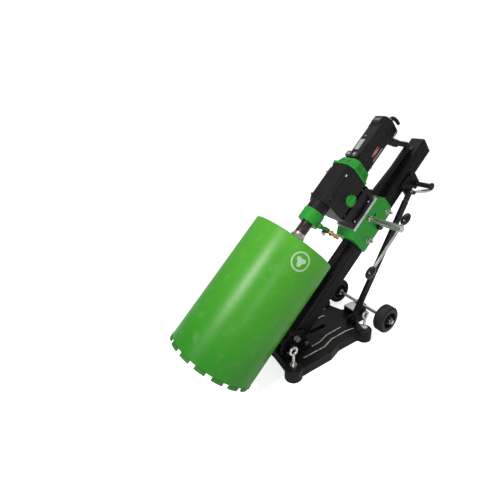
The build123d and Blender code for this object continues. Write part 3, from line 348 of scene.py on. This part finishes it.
winding = coated("winding_varnish", (0.30, 0.13, 0.05), (0.4, 0.25, 0.15), rough=(0.3, 0.4), coat=0.3)
zinc = bare_metal("zinc_plate", (0.68, 0.68, 0.67), (0.26, 0.26, 0.26), rough=(0.24, 0.38), blotch=0.5)
zinc_across = bare_metal("zinc_turned", (0.70, 0.70, 0.69), (0.52, 0.52, 0.52), axis=(1, 0, 0),
                         rough=(0.24, 0.34), blotch=0.2)
steel = bare_metal("ground_steel", (0.56, 0.56, 0.55), (0.28, 0.27, 0.26), rough=(0.20, 0.34), blotch=0.4)
axle_steel = bare_metal("axle_steel", (0.46, 0.47, 0.49), (0.20, 0.21, 0.22), axis=(1, 0, 0),
                        rough=(0.22, 0.34))
adaptor_steel = bare_metal("adaptor_steel", (0.60, 0.57, 0.54), (0.24, 0.21, 0.19), axis=tuple(UP_COLUMN),
                           rough=(0.18, 0.34), blotch=0.6)
rack_steel = bare_metal("rack_steel", (0.060, 0.060, 0.060), (0.020, 0.020, 0.020), axis=(1, 0, 0),
                        rough=(0.34, 0.50))
dark_steel = bare_metal("dark_steel", (0.07, 0.068, 0.065), (0.03, 0.03, 0.03), axis=tuple(UP_COLUMN),
                        rough=(0.28, 0.42))
machined = bare_metal("machined_aluminium", (0.70, 0.71, 0.72), (0.42, 0.43, 0.44), axis=tuple(UP_COLUMN),
                      rough=(0.24, 0.40), streak=0.015, bump=0.10, blotch=0.3)
block_top = bare_metal("block_top_plate", (0.58, 0.60, 0.62), (0.36, 0.38, 0.40), axis=(0, 1, 0),
                       rough=(0.34, 0.5), blotch=0.5)
bronze = bare_metal("bronze", (0.50, 0.34, 0.16), (0.3, 0.2, 0.1), axis=tuple(UP_COLUMN))


def bit_paint():
    """Sprayed steel tube: satin green with a drawn grain, and painted shade that runs darker towards the
    cutting end and lighter towards the top.
    """
    made, tree, shader = new_material("bit_green")
    lines = effect(tree, TURNING, Axis=tuple(UP_COLUMN), Scale=500.0, Streak=1.0)
    grain = effect(tree, GRAIN, Scale=1100.0, Broad=9.0, Mottle=0.28)
    edge = effect(tree, EDGE_WEAR, Radius=0.001, Amount=0.35, Breakup=120.0)
    here = object_point(tree)
    low, high = (place(0, a, 0).dot(UP_COLUMN) for a in BIT_PAINT_A)
    # Painted shade: the green ramps from darker at the cutting end to lighter at the top of the tube.
    height = spread(tree, distance_along(tree, here, tuple(UP_COLUMN)), low, high)
    green = mix(tree, height, rgba((0.020, 0.200, 0.009)), rgba((0.070, 0.350, 0.022)))
    scuffs = spread(tree, lines["Streaks"], 0.56, 0.72, 0.0, 0.18)
    streaked = mix(tree, scuffs, lit(tree, green, grain["Tone"]), rgba((0.17, 0.44, 0.10)))
    tree.links.new(mix(tree, edge["Mask"], streaked, rgba((0.22, 0.28, 0.18))), shader.inputs["Base Color"])
    tree.links.new(spread(tree, grain["Height"], 0.3, 0.7, 0.27, 0.40), shader.inputs["Roughness"])
    bumped(tree, shader, Height=grain["Height"], Normal=edge["Normal"], Strength=0.06, Distance=0.0004)
    shader.inputs["Specular IOR Level"].default_value = 0.26
    return made


def valve_finish():
    """The tap's painted green root, then the bare brass of its hose coupling."""
    made, tree, shader = new_material("valve_body")
    lines = effect(tree, TURNING, Axis=tuple(VALVE_WAY), Scale=1600.0, Streak=0.02)
    grain = effect(tree, GRAIN, Scale=700.0, Broad=60.0, Mottle=0.4)
    edge = effect(tree, EDGE_WEAR, Radius=0.0008, Amount=0.4)
    here = object_point(tree)
    step = VALVE_WAY.dot(place(0, VALVE_A, 0)) + VALVE_BARE_FROM
    bare = spread(tree, distance_along(tree, here, tuple(VALVE_WAY)), step - 0.0003, step + 0.0003)
    brass_tone = lit(tree, plain(tree, (0.62, 0.36, 0.13)), grain["Tone"])
    paint = mix(tree, edge["Mask"], rgba((0.012, 0.085, 0.012)), rgba((0.35, 0.25, 0.12)))
    tree.links.new(mix(tree, bare, paint, brass_tone), shader.inputs["Base Color"])
    tree.links.new(bare, shader.inputs["Metallic"])
    tree.links.new(spread(tree, lines["Height"], 0.3, 0.7, 0.22, 0.40), shader.inputs["Roughness"])
    bumped(tree, shader, Height=lines["Height"], Normal=edge["Normal"], Strength=0.1, Distance=0.0002)
    return made


def segment_matrix():
    """Sintered segments: dark green-grey metal with fine diamond grit showing."""
    made, tree, shader = new_material("cutting_segment")
    grain = effect(tree, GRAIN, Scale=2200.0, Broad=70.0, Mottle=0.6)
    here = object_point(tree)
    grit = node(tree, "TexVoronoi", {"Vector": here, "Scale": 1500.0}).outputs["Distance"]
    sparkle = spread(tree, grit, 0.0, 0.12, 1.0, 0.0)
    base = lit(tree, plain(tree, (0.024, 0.150, 0.014)), grain["Tone"])
    tree.links.new(mix(tree, sparkle, base, rgba((0.16, 0.24, 0.12))), shader.inputs["Base Color"])
    tree.links.new(spread(tree, grain["Height"], 0.3, 0.7, 0.45, 0.7), shader.inputs["Roughness"])
    shader.inputs["Metallic"].default_value = 0.15
    bumped(tree, shader, Height=grain["Height"], Strength=0.4, Distance=0.0005)
    return made


def base_paint():
    """The base's black coat, rubbed bright along the tops of its raised ribs."""
    made, tree, shader = new_material("base_coat")
    edge = effect(tree, EDGE_WEAR, Radius=0.0014, Amount=0.45, Breakup=55.0)
    grain = effect(tree, GRAIN, Scale=420.0, Broad=16.0, Mottle=0.5)
    settled = effect(tree, DUST, Amount=0.03)
    here = object_point(tree)
    height = vertical_part(tree, here)
    above = spread(tree, height, RIB_TOP - 0.0006, RIB_TOP - 0.0002)
    below = spread(tree, height, RIB_TOP + 0.0004, RIB_TOP + 0.0002)
    rubbed = spread(tree, noise(tree, here, 70.0, 4.0), 0.30, 0.50)
    level = spread(tree, vertical_part(tree, surface_normal(tree)), 0.7, 0.9)
    top = maths(tree, "MULTIPLY", maths(tree, "MULTIPLY", above, below), level)
    ground = maths(tree, "MULTIPLY", top, rubbed)
    base = lit(tree, plain(tree, NEAR_BLACK), grain["Tone"])
    dusty = mix(tree, settled["Mask"], base, rgba((0.30, 0.28, 0.25)))
    worn = mix(tree, edge["Mask"], dusty, rgba((0.30, 0.29, 0.27)))
    tree.links.new(mix(tree, ground, worn, rgba((0.66, 0.63, 0.57))), shader.inputs["Base Color"])
    tree.links.new(maths(tree, "MULTIPLY", ground, 0.35), shader.inputs["Metallic"])
    tree.links.new(spread(tree, grain["Height"], 0.3, 0.7, 0.34, 0.52), shader.inputs["Roughness"])
    bumped(tree, shader, Height=grain["Height"], Normal=edge["Normal"], Strength=0.35, Distance=0.0006)
    shader.inputs["Specular IOR Level"].default_value = 0.20
    return made


bit_green = bit_paint()
valve_body = valve_finish()
segment_grit = segment_matrix()
base_black = base_paint()

FINISH_OF = {
    base_black: ["base_casting"],
    cast_black: ["pivot_bracket", "column_shoe", "strut_bracket", "strut_tube", "strut_slider"],
    column_black: ["column_tube"],
    gear_case_black: ["gearbox_housing", "gearbox_nose"],
    case_black: ["column_cap", "transport_grip", "motor_housing", "motor_cap", "control_panel",
                 "rear_handle"],
    rubber_black: ["cable_sleeve"],
    carriage_green: ["carriage_housing", "vent_band", "gear_selector", "water_swivel"],
    tyre_rubber: ["tyre_right", "tyre_left"],
    hub_black: ["rim_right", "rim_left"],
    knob_black: ["feed_bar_knobs", "carriage_lock", "valve_lever", "panel_button_left", "panel_button_right"],
    switch_grey: ["rocker_switch"],
    carbon: ["carbon_brushes"],
    winding: ["armature", "stator"],
    zinc: ["base_nuts", "lock_bolt", "carriage_bolts", "feed_bar", "levelling_screw_front_right",
           "levelling_screw_front_left", "levelling_screw_rear_right", "levelling_screw_rear_left"],
    zinc_across: ["feed_sleeve", "feed_shaft"],
    rack_steel: ["feed_rack"],
    steel: ["spindle_gear", "layshaft", "drill_bearings", "bearing_plates"],
    axle_steel: ["wheel_axle"],
    adaptor_steel: ["hex_adaptor"],
    dark_steel: ["drill_spindle", "pivot_bolts", "strut_top_bolt"],
    machined: ["mounting_plate", "clamp_lever"],
    block_top: ["block_plate"],
    valve_body: ["water_valve"],
    bronze: ["guide_pads"],
    bit_green: ["core_bit_tube"],
    segment_grit: ["bit_segments"],
}
for finish, names in FINISH_OF.items():
    for name in names:
        mesh = NODES[name].data
        mesh.materials.clear()
        mesh.materials.append(finish)

# ---------------------------------------------------------------- fine pieces

decal_white = coated("decal_white", (0.40, 0.56, 0.38), (0.16, 0.40, 0.14), rough=(0.34, 0.48), scale=1400,
                     bump=0.03, wear=0.5, mottle=0.3, dust=0.0)
label_silver = coated("label_silver", (0.36, 0.36, 0.36), (0.5, 0.5, 0.5), rough=(0.28, 0.40), scale=900,
                      bump=0.03, wear=0.3, mottle=0.6, dust=0.0)
label_red = coated("label_red", (0.42, 0.035, 0.025), (0.5, 0.3, 0.3), rough=(0.30, 0.42), scale=900,
                   bump=0.03, wear=0.3, mottle=0.5, dust=0.0)
label_pale = coated("label_pale", (0.30, 0.29, 0.28), (0.5, 0.5, 0.5), rough=(0.34, 0.46), scale=900,
                    bump=0.03, wear=0.3, mottle=0.6, dust=0.0)
# Flat black for the sheet of painted shade behind the vent band's openings.
painted_shade_black = coated("painted_shade_black", (0.004, 0.004, 0.004), (0.01, 0.01, 0.01), rough=(0.7, 0.9), wear=0.0,
                   dust=0.0)


def shown(name, mesh_maker, finish, body):
    """A piece built in mesh code, given its finish and the body it rides on."""
    bm = bmesh.new()
    mesh_maker(bm)
    bmesh.ops.recalc_face_normals(bm, faces=bm.faces)
    mesh = bpy.data.meshes.new(name)
    bm.to_mesh(mesh)
    bm.free()
    made = bpy.data.objects.new(name, mesh)
    bpy.context.scene.collection.objects.link(made)
    mesh.materials.append(finish)
    mesh.polygons.foreach_set("use_smooth", [True] * len(mesh.polygons))
    mesh.set_sharp_from_angle(angle=SHARP_EDGE)
    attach(made, body)
    return made


def skin(bm, rings):
    """Faces between successive closed rings of vertices; a ring may be a single vertex."""
    for low, high in zip(rings, rings[1:]):
        count = max(len(low), len(high))
        for i in range(count):
            j = (i + 1) % count
            corners = [low[i % len(low)], low[j % len(low)], high[j % len(high)], high[i % len(high)]]
            unique = list(dict.fromkeys(corners))
            if len(unique) > 2:
                bm.faces.new(unique)


def ring_about(bm, centre, across, up, steps):
    """Ring of vertices round a centre, with the two vectors as its half-widths."""
    turns = [2 * math.pi * i / steps for i in range(steps)]
    return [bm.verts.new(centre + across * math.cos(turn) + up * math.sin(turn)) for turn in turns]


def cap_ends(bm, rings):
    bm.faces.new(list(reversed(rings[0])))
    bm.faces.new(rings[-1])


def lathe(bm, matrix, profile, steps):
    """Solid turned about the matrix's local Z from (radius, height) pairs in millimetres."""
    origin = matrix.translation
    x_way, y_way, z_way = (matrix.col[i].to_3d() / 1000 for i in range(3))
    rings = []
    for radius, height in profile:
        centre = origin + z_way * height
        if radius == 0:
            rings.append([bm.verts.new(centre)])
        else:
            rings.append(ring_about(bm, centre, x_way * radius, y_way * radius, steps))
    skin(bm, rings)


def plate(bm, matrix, outline, thick, edge):
    """Flat plate of any outline in millimetres, its front edge chamfered by edge."""
    middle = sum((Vector(p) for p in outline), Vector((0, 0))) / len(outline)
    rings = []
    for height, inset in ((0, 0), (thick - edge, 0), (thick, edge)):
        ring = []
        for point in outline:
            off = Vector(point) - middle
            drawn_in = middle + off * (1 - inset / max(off.length, 0.001))
            ring.append(bm.verts.new(matrix @ (Vector((*drawn_in, height)) / 1000)))
        rings.append(ring)
    skin(bm, rings)
    cap_ends(bm, rings)


def rounded(width, height, corner):
    """Outline of a rounded rectangle about its centre."""
    steps = 5
    points = []
    for sx, sy, start in ((1, 1, 0), (-1, 1, 90), (-1, -1, 180), (1, -1, 270)):
        for i in range(steps + 1):
            turn = math.radians(start + 90 * i / steps)
            points.append((
                sx * (width / 2 - corner) + corner * math.cos(turn),
                sy * (height / 2 - corner) + corner * math.sin(turn),
            ))
    return points


def on_bit(around, along, lift):
    """Point on the core bit, from millimetres round and along it from the emblem's centre."""
    radius = BIT_PAINT_R + lift
    turn = EMBLEM_TURN + around / radius
    return place(radius * math.sin(turn), EMBLEM_A + along, -radius * math.cos(turn))


def emblem(bm):
    """Printed ring round a plain three-lobed figure, laid on the tube's curve."""
    steps, bands = 72, 4
    for inner, outer, lobes in ((0.0, 11.5, 0.30), (21.0, 25.5, 0.0)):
        sheets = []
        for lift in (0.05, 0.16):
            rings = []
            for b in range(bands + 1):
                radius = inner + (outer - inner) * b / bands
                if radius == 0:
                    rings.append([bm.verts.new(on_bit(0, 0, lift))])
                    continue
                ring = []
                for i in range(steps):
                    turn = 2 * math.pi * i / steps
                    reach = radius * (1 + lobes * math.sin(3 * turn))
                    ring.append(bm.verts.new(on_bit(reach * math.cos(turn), reach * math.sin(turn), lift)))
                rings.append(ring)
            skin(bm, rings)
            sheets.append(rings)
        skin(bm, [sheets[0][-1], sheets[1][-1]])
        if inner:
            skin(bm, [sheets[0][0], sheets[1][0]])


shown("bit_emblem", emblem, decal_white, "spindle")


SCREW_PROFILE = [(0, -0.6), (1.5, -0.6), (1.5, 1.5), (2.6, 1.5), (3.4, 0.9), (3.6, 0), (0, 0)]
SWIVEL_SCREW_PROFILE = [(0, -0.8), (1.4, -0.8), (1.4, 0.5), (2.2, 0.5), (2.6, 0.1), (2.6, -0.4), (0, -0.4)]


def cap_screw(bm, matrix, size=1.0, lift=0.0):
    """Socket-headed screw on the matrix's plane, its radii scaled by size."""
    lathe(bm, matrix, [(r * size, h + lift) for r, h in SCREW_PROFILE], 18)


def bright_screws(bm):
    for x in (39.5, -39.5):
        cap_screw(bm, column_matrix(x, 425, CASE_FRONT_N, "front"), 1.15, 2.0)


def case_screws(bm):
    for x in (-39.5, 39.5):
        cap_screw(bm, column_matrix(x, 345, CASE_FRONT_N, "front"), 1.05, 2.0)
    for x, side in ((CASE_X, "right"), (-CASE_X, "left")):
        for a, n in ((438, 4), (438, 66), (345, 66), (345, 4)):
            cap_screw(bm, column_matrix(x, a, n, side))
    for x, side in ((MOTOR_X, "right"), (-MOTOR_X, "left")):
        for a in (508, 604):
            for n in (16, 50):
                cap_screw(bm, column_matrix(x, a, n, side))


def swivel_screws(bm):
    """Eight grub screws round the water swivel's green ring."""
    for turn in range(0, 360, 45):
        angle = math.radians(turn + 20)
        across = RIGHT * math.cos(angle) + REARWARD * math.sin(angle)
        m = Matrix((UP_COLUMN, UP_COLUMN.cross(across), across)).transposed().to_4x4()
        m.translation = place(0, SWIVEL_SCREW_A, 0) + across * 0.0318
        lathe(bm, m, SWIVEL_SCREW_PROFILE, 16)


shown("bright_screws", bright_screws, zinc, "carriage")
shown("case_screws", case_screws, dark_steel, "carriage")
shown("swivel_screws", swivel_screws, dark_steel, "carriage")


def vent_ribs(bm):
    """Raised bars between the air slots, on both sides of the motor's cap and on its end."""
    for x, side in ((MOTOR_X + 1, "right"), (-MOTOR_X - 1, "left")):
        for n in range(25, 61, 6):
            plate(bm, column_matrix(x, 636, n, side), rounded(2.6, 27, 1.2), 1.3, 0.5)
    for x in range(-16, 17, 8):
        plate(bm, column_matrix(x, MOTOR_END_A, 48, "up"), rounded(3.2, 20, 1.5), 1.1, 0.4)


shown("vent_ribs", vent_ribs, case_black, "carriage")


def lever_sheath(bm):
    """Smooth cast grip over the outer part of the clamp lever, rounded at both ends."""
    knots = [Vector(p) for p in LEVER_LINE]
    steps, sides = 26, 18
    rings = []
    for i in range(steps + 1):
        t = i / steps
        span = min(2, int(t * 3))
        centre = knots[span].lerp(knots[span + 1], t * 3 - span)
        tangent = (knots[span + 1] - knots[span]).normalized()
        level = Vector((0, 0, 1)).cross(tangent).normalized()
        up = tangent.cross(level)
        swell = math.sqrt(max(0.02, 1 - (2 * t - 1) ** 8))
        half_wide, half_high = level * (LEVER_HALF_WIDE * swell), up * (LEVER_HALF_HIGH * swell)
        rings.append(ring_about(bm, centre, half_wide, half_high, sides))
    skin(bm, rings)
    cap_ends(bm, rings)


shown("lever_sheath", lever_sheath, machined, "lever")


def selector_marks(bm):
    """Seven printed dots in a fan round the gear selector."""
    for step in range(-3, 4):
        turn = math.radians(90 + 36 * step)
        n, a = 47 + 20.0 * math.cos(turn), 386 + 20.0 * math.sin(turn)
        lathe(bm, column_matrix(44.0, a, n, "right"), [(0, 0), (1.1, 0), (1.1, 0.25), (0, 0.25)], 14)


shown("selector_marks", selector_marks, decal_white, "carriage")


def rating_label(bm):
    plate(bm, column_matrix(-6.5, 545, -3.0, "front"), rounded(17, 38, 1.5), 0.3, 0.1)
    lathe(bm, column_matrix(-6.5, 577, -3.0, "front"), [(0, 0), (2.6, 0), (2.4, 0.35), (0, 0.35)], 20)


def side_label(bm):
    for x, side in ((MOTOR_X, "right"), (-MOTOR_X, "left")):
        plate(bm, column_matrix(x, 548, 30, side), rounded(12, 36, 3.5), 0.3, 0.1)


def side_strip(bm):
    for x, side in ((MOTOR_X, "right"), (-MOTOR_X, "left")):
        plate(bm, column_matrix(x, 550, 44, side), rounded(4.5, 50, 1.2), 0.3, 0.1)
        plate(bm, column_matrix(x, 548, 30, side), rounded(5.5, 20, 2.0), 0.5, 0.1)


shown("rating_label", rating_label, label_silver, "carriage")
shown("side_label", side_label, label_red, "carriage")
shown("side_strip", side_strip, label_pale, "carriage")


def octagon(half, near, far, cut):
    """Outline in (x, n) of a box with cut corners."""
    return [
        (-half + cut, near), (half - cut, near), (half, near + cut), (half, far - cut),
        (half - cut, far), (-half + cut, far), (-half, far - cut), (-half, near + cut),
    ]


def tube_between(bm, outer, inner, low, high):
    """Closed tube up the column between two outlines of (x, n)."""
    rings = [
        [bm.verts.new(place(x, a, n)) for x, n in outline]
        for outline, a in ((outer, low), (outer, high), (inner, high), (inner, low))
    ]
    skin(bm, rings + [rings[0]])


def vent_shade_sheet(bm):
    """Painted shade: a black sheet behind the vent band's openings, standing in for the shade inside them."""
    tube_between(bm, octagon(30.9, -4.9, 66.9, 12), octagon(30.3, -4.3, 66.3, 12), 466, 488.5)


# Painted shade: black sheet inside the vent band's openings.
shown("vent_shade_sheet", vent_shade_sheet, painted_shade_black, "carriage")


def button_rims(bm):
    profile = [(6.4, -0.4), (8.6, -0.4), (8.6, 0.6), (7.9, 1.2), (6.9, 1.2), (6.4, 0.7), (6.4, -0.4)]
    for x in (-PANEL_BUTTON_X, PANEL_BUTTON_X):
        lathe(bm, column_matrix(x, PANEL_A, -12, "front"), profile, 32)


def button_face(x):
    """Printed white face on one push button, with a dark mark left in its middle."""
    profile = [(1.6, -0.1), (4.2, -0.1), (4.0, 0.25), (1.7, 0.25), (1.6, -0.1)]

    def build(bm):
        lathe(bm, column_matrix(x, PANEL_A, -14.5, "front"), profile, 28)
    return build


shown("button_rims", button_rims, switch_grey, "carriage")
shown("button_face_left", button_face(-PANEL_BUTTON_X), button_white, "button_left")
shown("button_face_right", button_face(PANEL_BUTTON_X), button_white, "button_right")


def sleeve_point(t):
    """Centre line of the bend sleeve: out of the motor's end, then over to the rear."""
    ends = [(18, 655, 17), (18.5, 672, 19), (20.5, 678, 34), (21, 678, 55.5)]
    weights = [(1 - t) ** 3, 3 * t * (1 - t) ** 2, 3 * t * t * (1 - t), t ** 3]
    return place(*(sum(w * e[i] for w, e in zip(weights, ends)) for i in range(3)))


def bend_sleeve(bm):
    """Ribbed, tapering sleeve whose far end is open for a short way, where a cord would leave."""
    steps, sides = 72, 22
    rings = []
    for i in range(steps + 1):
        t = i / steps
        here = sleeve_point(t)
        tangent = (sleeve_point(min(1, t + 0.01)) - sleeve_point(max(0, t - 0.01))).normalized()
        up = tangent.cross(RIGHT).normalized()
        across = up.cross(tangent)
        ribbed = 0.75 if i % 6 in (3, 4) and 8 < i < 66 else 0.0
        radius = (6.4 - 1.5 * t - ribbed) / 1000
        rings.append(ring_about(bm, here, across * radius, up * radius, sides))
    up = REARWARD.cross(RIGHT).normalized()
    for radius, back in ((3.4, 0.0), (3.2, 5.0)):
        centre = sleeve_point(1.0) - REARWARD * back / 1000
        rings.append(ring_about(bm, centre, RIGHT * radius / 1000, up * radius / 1000, sides))
    skin(bm, rings)
    cap_ends(bm, rings)


sleeve = shown("bend_sleeve", bend_sleeve, rubber_black, "carriage")
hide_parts("cable_sleeve")


def sleeve_gland(bm):
    profile = [(6.5, 0), (9.5, 0), (9.5, 2.6), (8.6, 3.6), (6.9, 3.6), (6.5, 3.2), (6.5, 0)]
    lathe(bm, column_matrix(18, MOTOR_END_A - 0.4, 17, "up"), profile, 28)


shown("sleeve_gland", sleeve_gland, knob_black, "carriage")


def wheel_face(side):
    """Moulded hub flange that covers the tyre's flat side, with its raised lip."""
    profile = [(28.5, -1.5), (40.2, -0.3), (40.8, 0.3), (39.8, 1.1), (38.4, 0.7), (32.0, 0.7), (30.4, 1.3),
               (28.5, 0.9), (28.5, -1.5)]

    def build(bm):
        m = Matrix((Vector((0, side, 0)), Vector((0, 0, 1)), RIGHT * side)).transposed().to_4x4()
        m.translation = Vector((side * WHEEL_FACE_X, *WHEEL_CENTRE_YZ))
        lathe(bm, m, profile, 64)
    return build


for side, name in ((1, "right"), (-1, "left")):
    shown(f"wheel_face_{name}", wheel_face(side), hub_black, f"wheel_{name}")

# ---------------------------------------------------------------- floor, light and camera


def build_stage():
    bpy.ops.mesh.primitive_plane_add(size=60, location=(0, 0, 0))
    floor = bpy.context.active_object
    floor.name = "floor"
    made, tree, shader = new_material("pale_floor")
    here = object_point(tree)
    uneven = mix(tree, noise(tree, here, 3.0, 5.0), rgba((0.88, 0.88, 0.88)), rgba((0.92, 0.92, 0.92)))
    tree.links.new(uneven, shader.inputs["Base Color"])
    shader.inputs["Roughness"].default_value = 0.9
    shader.inputs["Specular IOR Level"].default_value = 0.1
    shader.inputs["Emission Color"].default_value = (1, 1, 1, 1)
    camera_sees = node(tree, "LightPath").outputs["Is Camera Ray"]
    tree.links.new(spread(tree, camera_sees, 0.0, 1.0, 0.05, 0.72), shader.inputs["Emission Strength"])
    floor.data.materials.append(made)
    world = bpy.data.worlds.new("studio")
    bpy.context.scene.world = world
    world.use_nodes = True
    sky = world.node_tree.nodes["Background"]
    sky.inputs[0].default_value = (0.985, 0.99, 1.0, 1)
    seen = node(world.node_tree, "LightPath").outputs["Is Camera Ray"]
    world.node_tree.links.new(spread(world.node_tree, seen, 0.0, 1.0, 0.34, 1.02), sky.inputs[1])


def add_area(name, position, aim, side, power, colour=(1, 1, 1)):
    """Square lamp turned to face a point: metres, then watts."""
    data = bpy.data.lights.new(name, "AREA")
    data.shape = "SQUARE"
    data.size = side
    data.energy = power
    data.color = colour
    lamp = bpy.data.objects.new(name, data)
    lamp.location = position
    lamp.rotation_mode = "QUATERNION"
    lamp.rotation_quaternion = (Vector(aim) - Vector(position)).to_track_quat("-Z", "Y")
    bpy.context.scene.collection.objects.link(lamp)


def build_camera():
    data = bpy.data.cameras.new("camera")
    data.sensor_width = 36
    data.lens = 23.46
    data.shift_x = -0.0862
    data.shift_y = -0.0082
    data.clip_start = 0.01
    camera = bpy.data.objects.new("camera", data)
    camera.location = (0.6812, -0.5746, 0.7145)
    azimuth, elevation = math.radians(53.6), math.radians(22.9)
    level = Vector((math.sin(azimuth), -math.cos(azimuth), 0))
    back = level * math.cos(elevation) + Vector((0, 0, math.sin(elevation)))
    camera.rotation_mode = "QUATERNION"
    camera.rotation_quaternion = (-back).to_track_quat("-Z", "Y")
    bpy.context.scene.collection.objects.link(camera)
    bpy.context.scene.camera = camera


bpy.context.scene.view_settings.view_transform = "Standard"
build_stage()
build_camera()
add_area("key", (0.45, -1.90, 1.88), (0, -0.2, 0.25), 0.6, 44, (1.0, 0.97, 0.92))
add_area("fill", (2.04, -1.13, 1.10), (0, -0.2, 0.25), 0.3, 7, (0.90, 0.96, 1.0))
add_area("overhead", (-0.5, 0.4, 2.4), (0, 0, 0.4), 1.4, 12)
add_area("rim", (-0.6, 2.0, 1.5), (0, 0.2, 0.4), 1.0, 10)
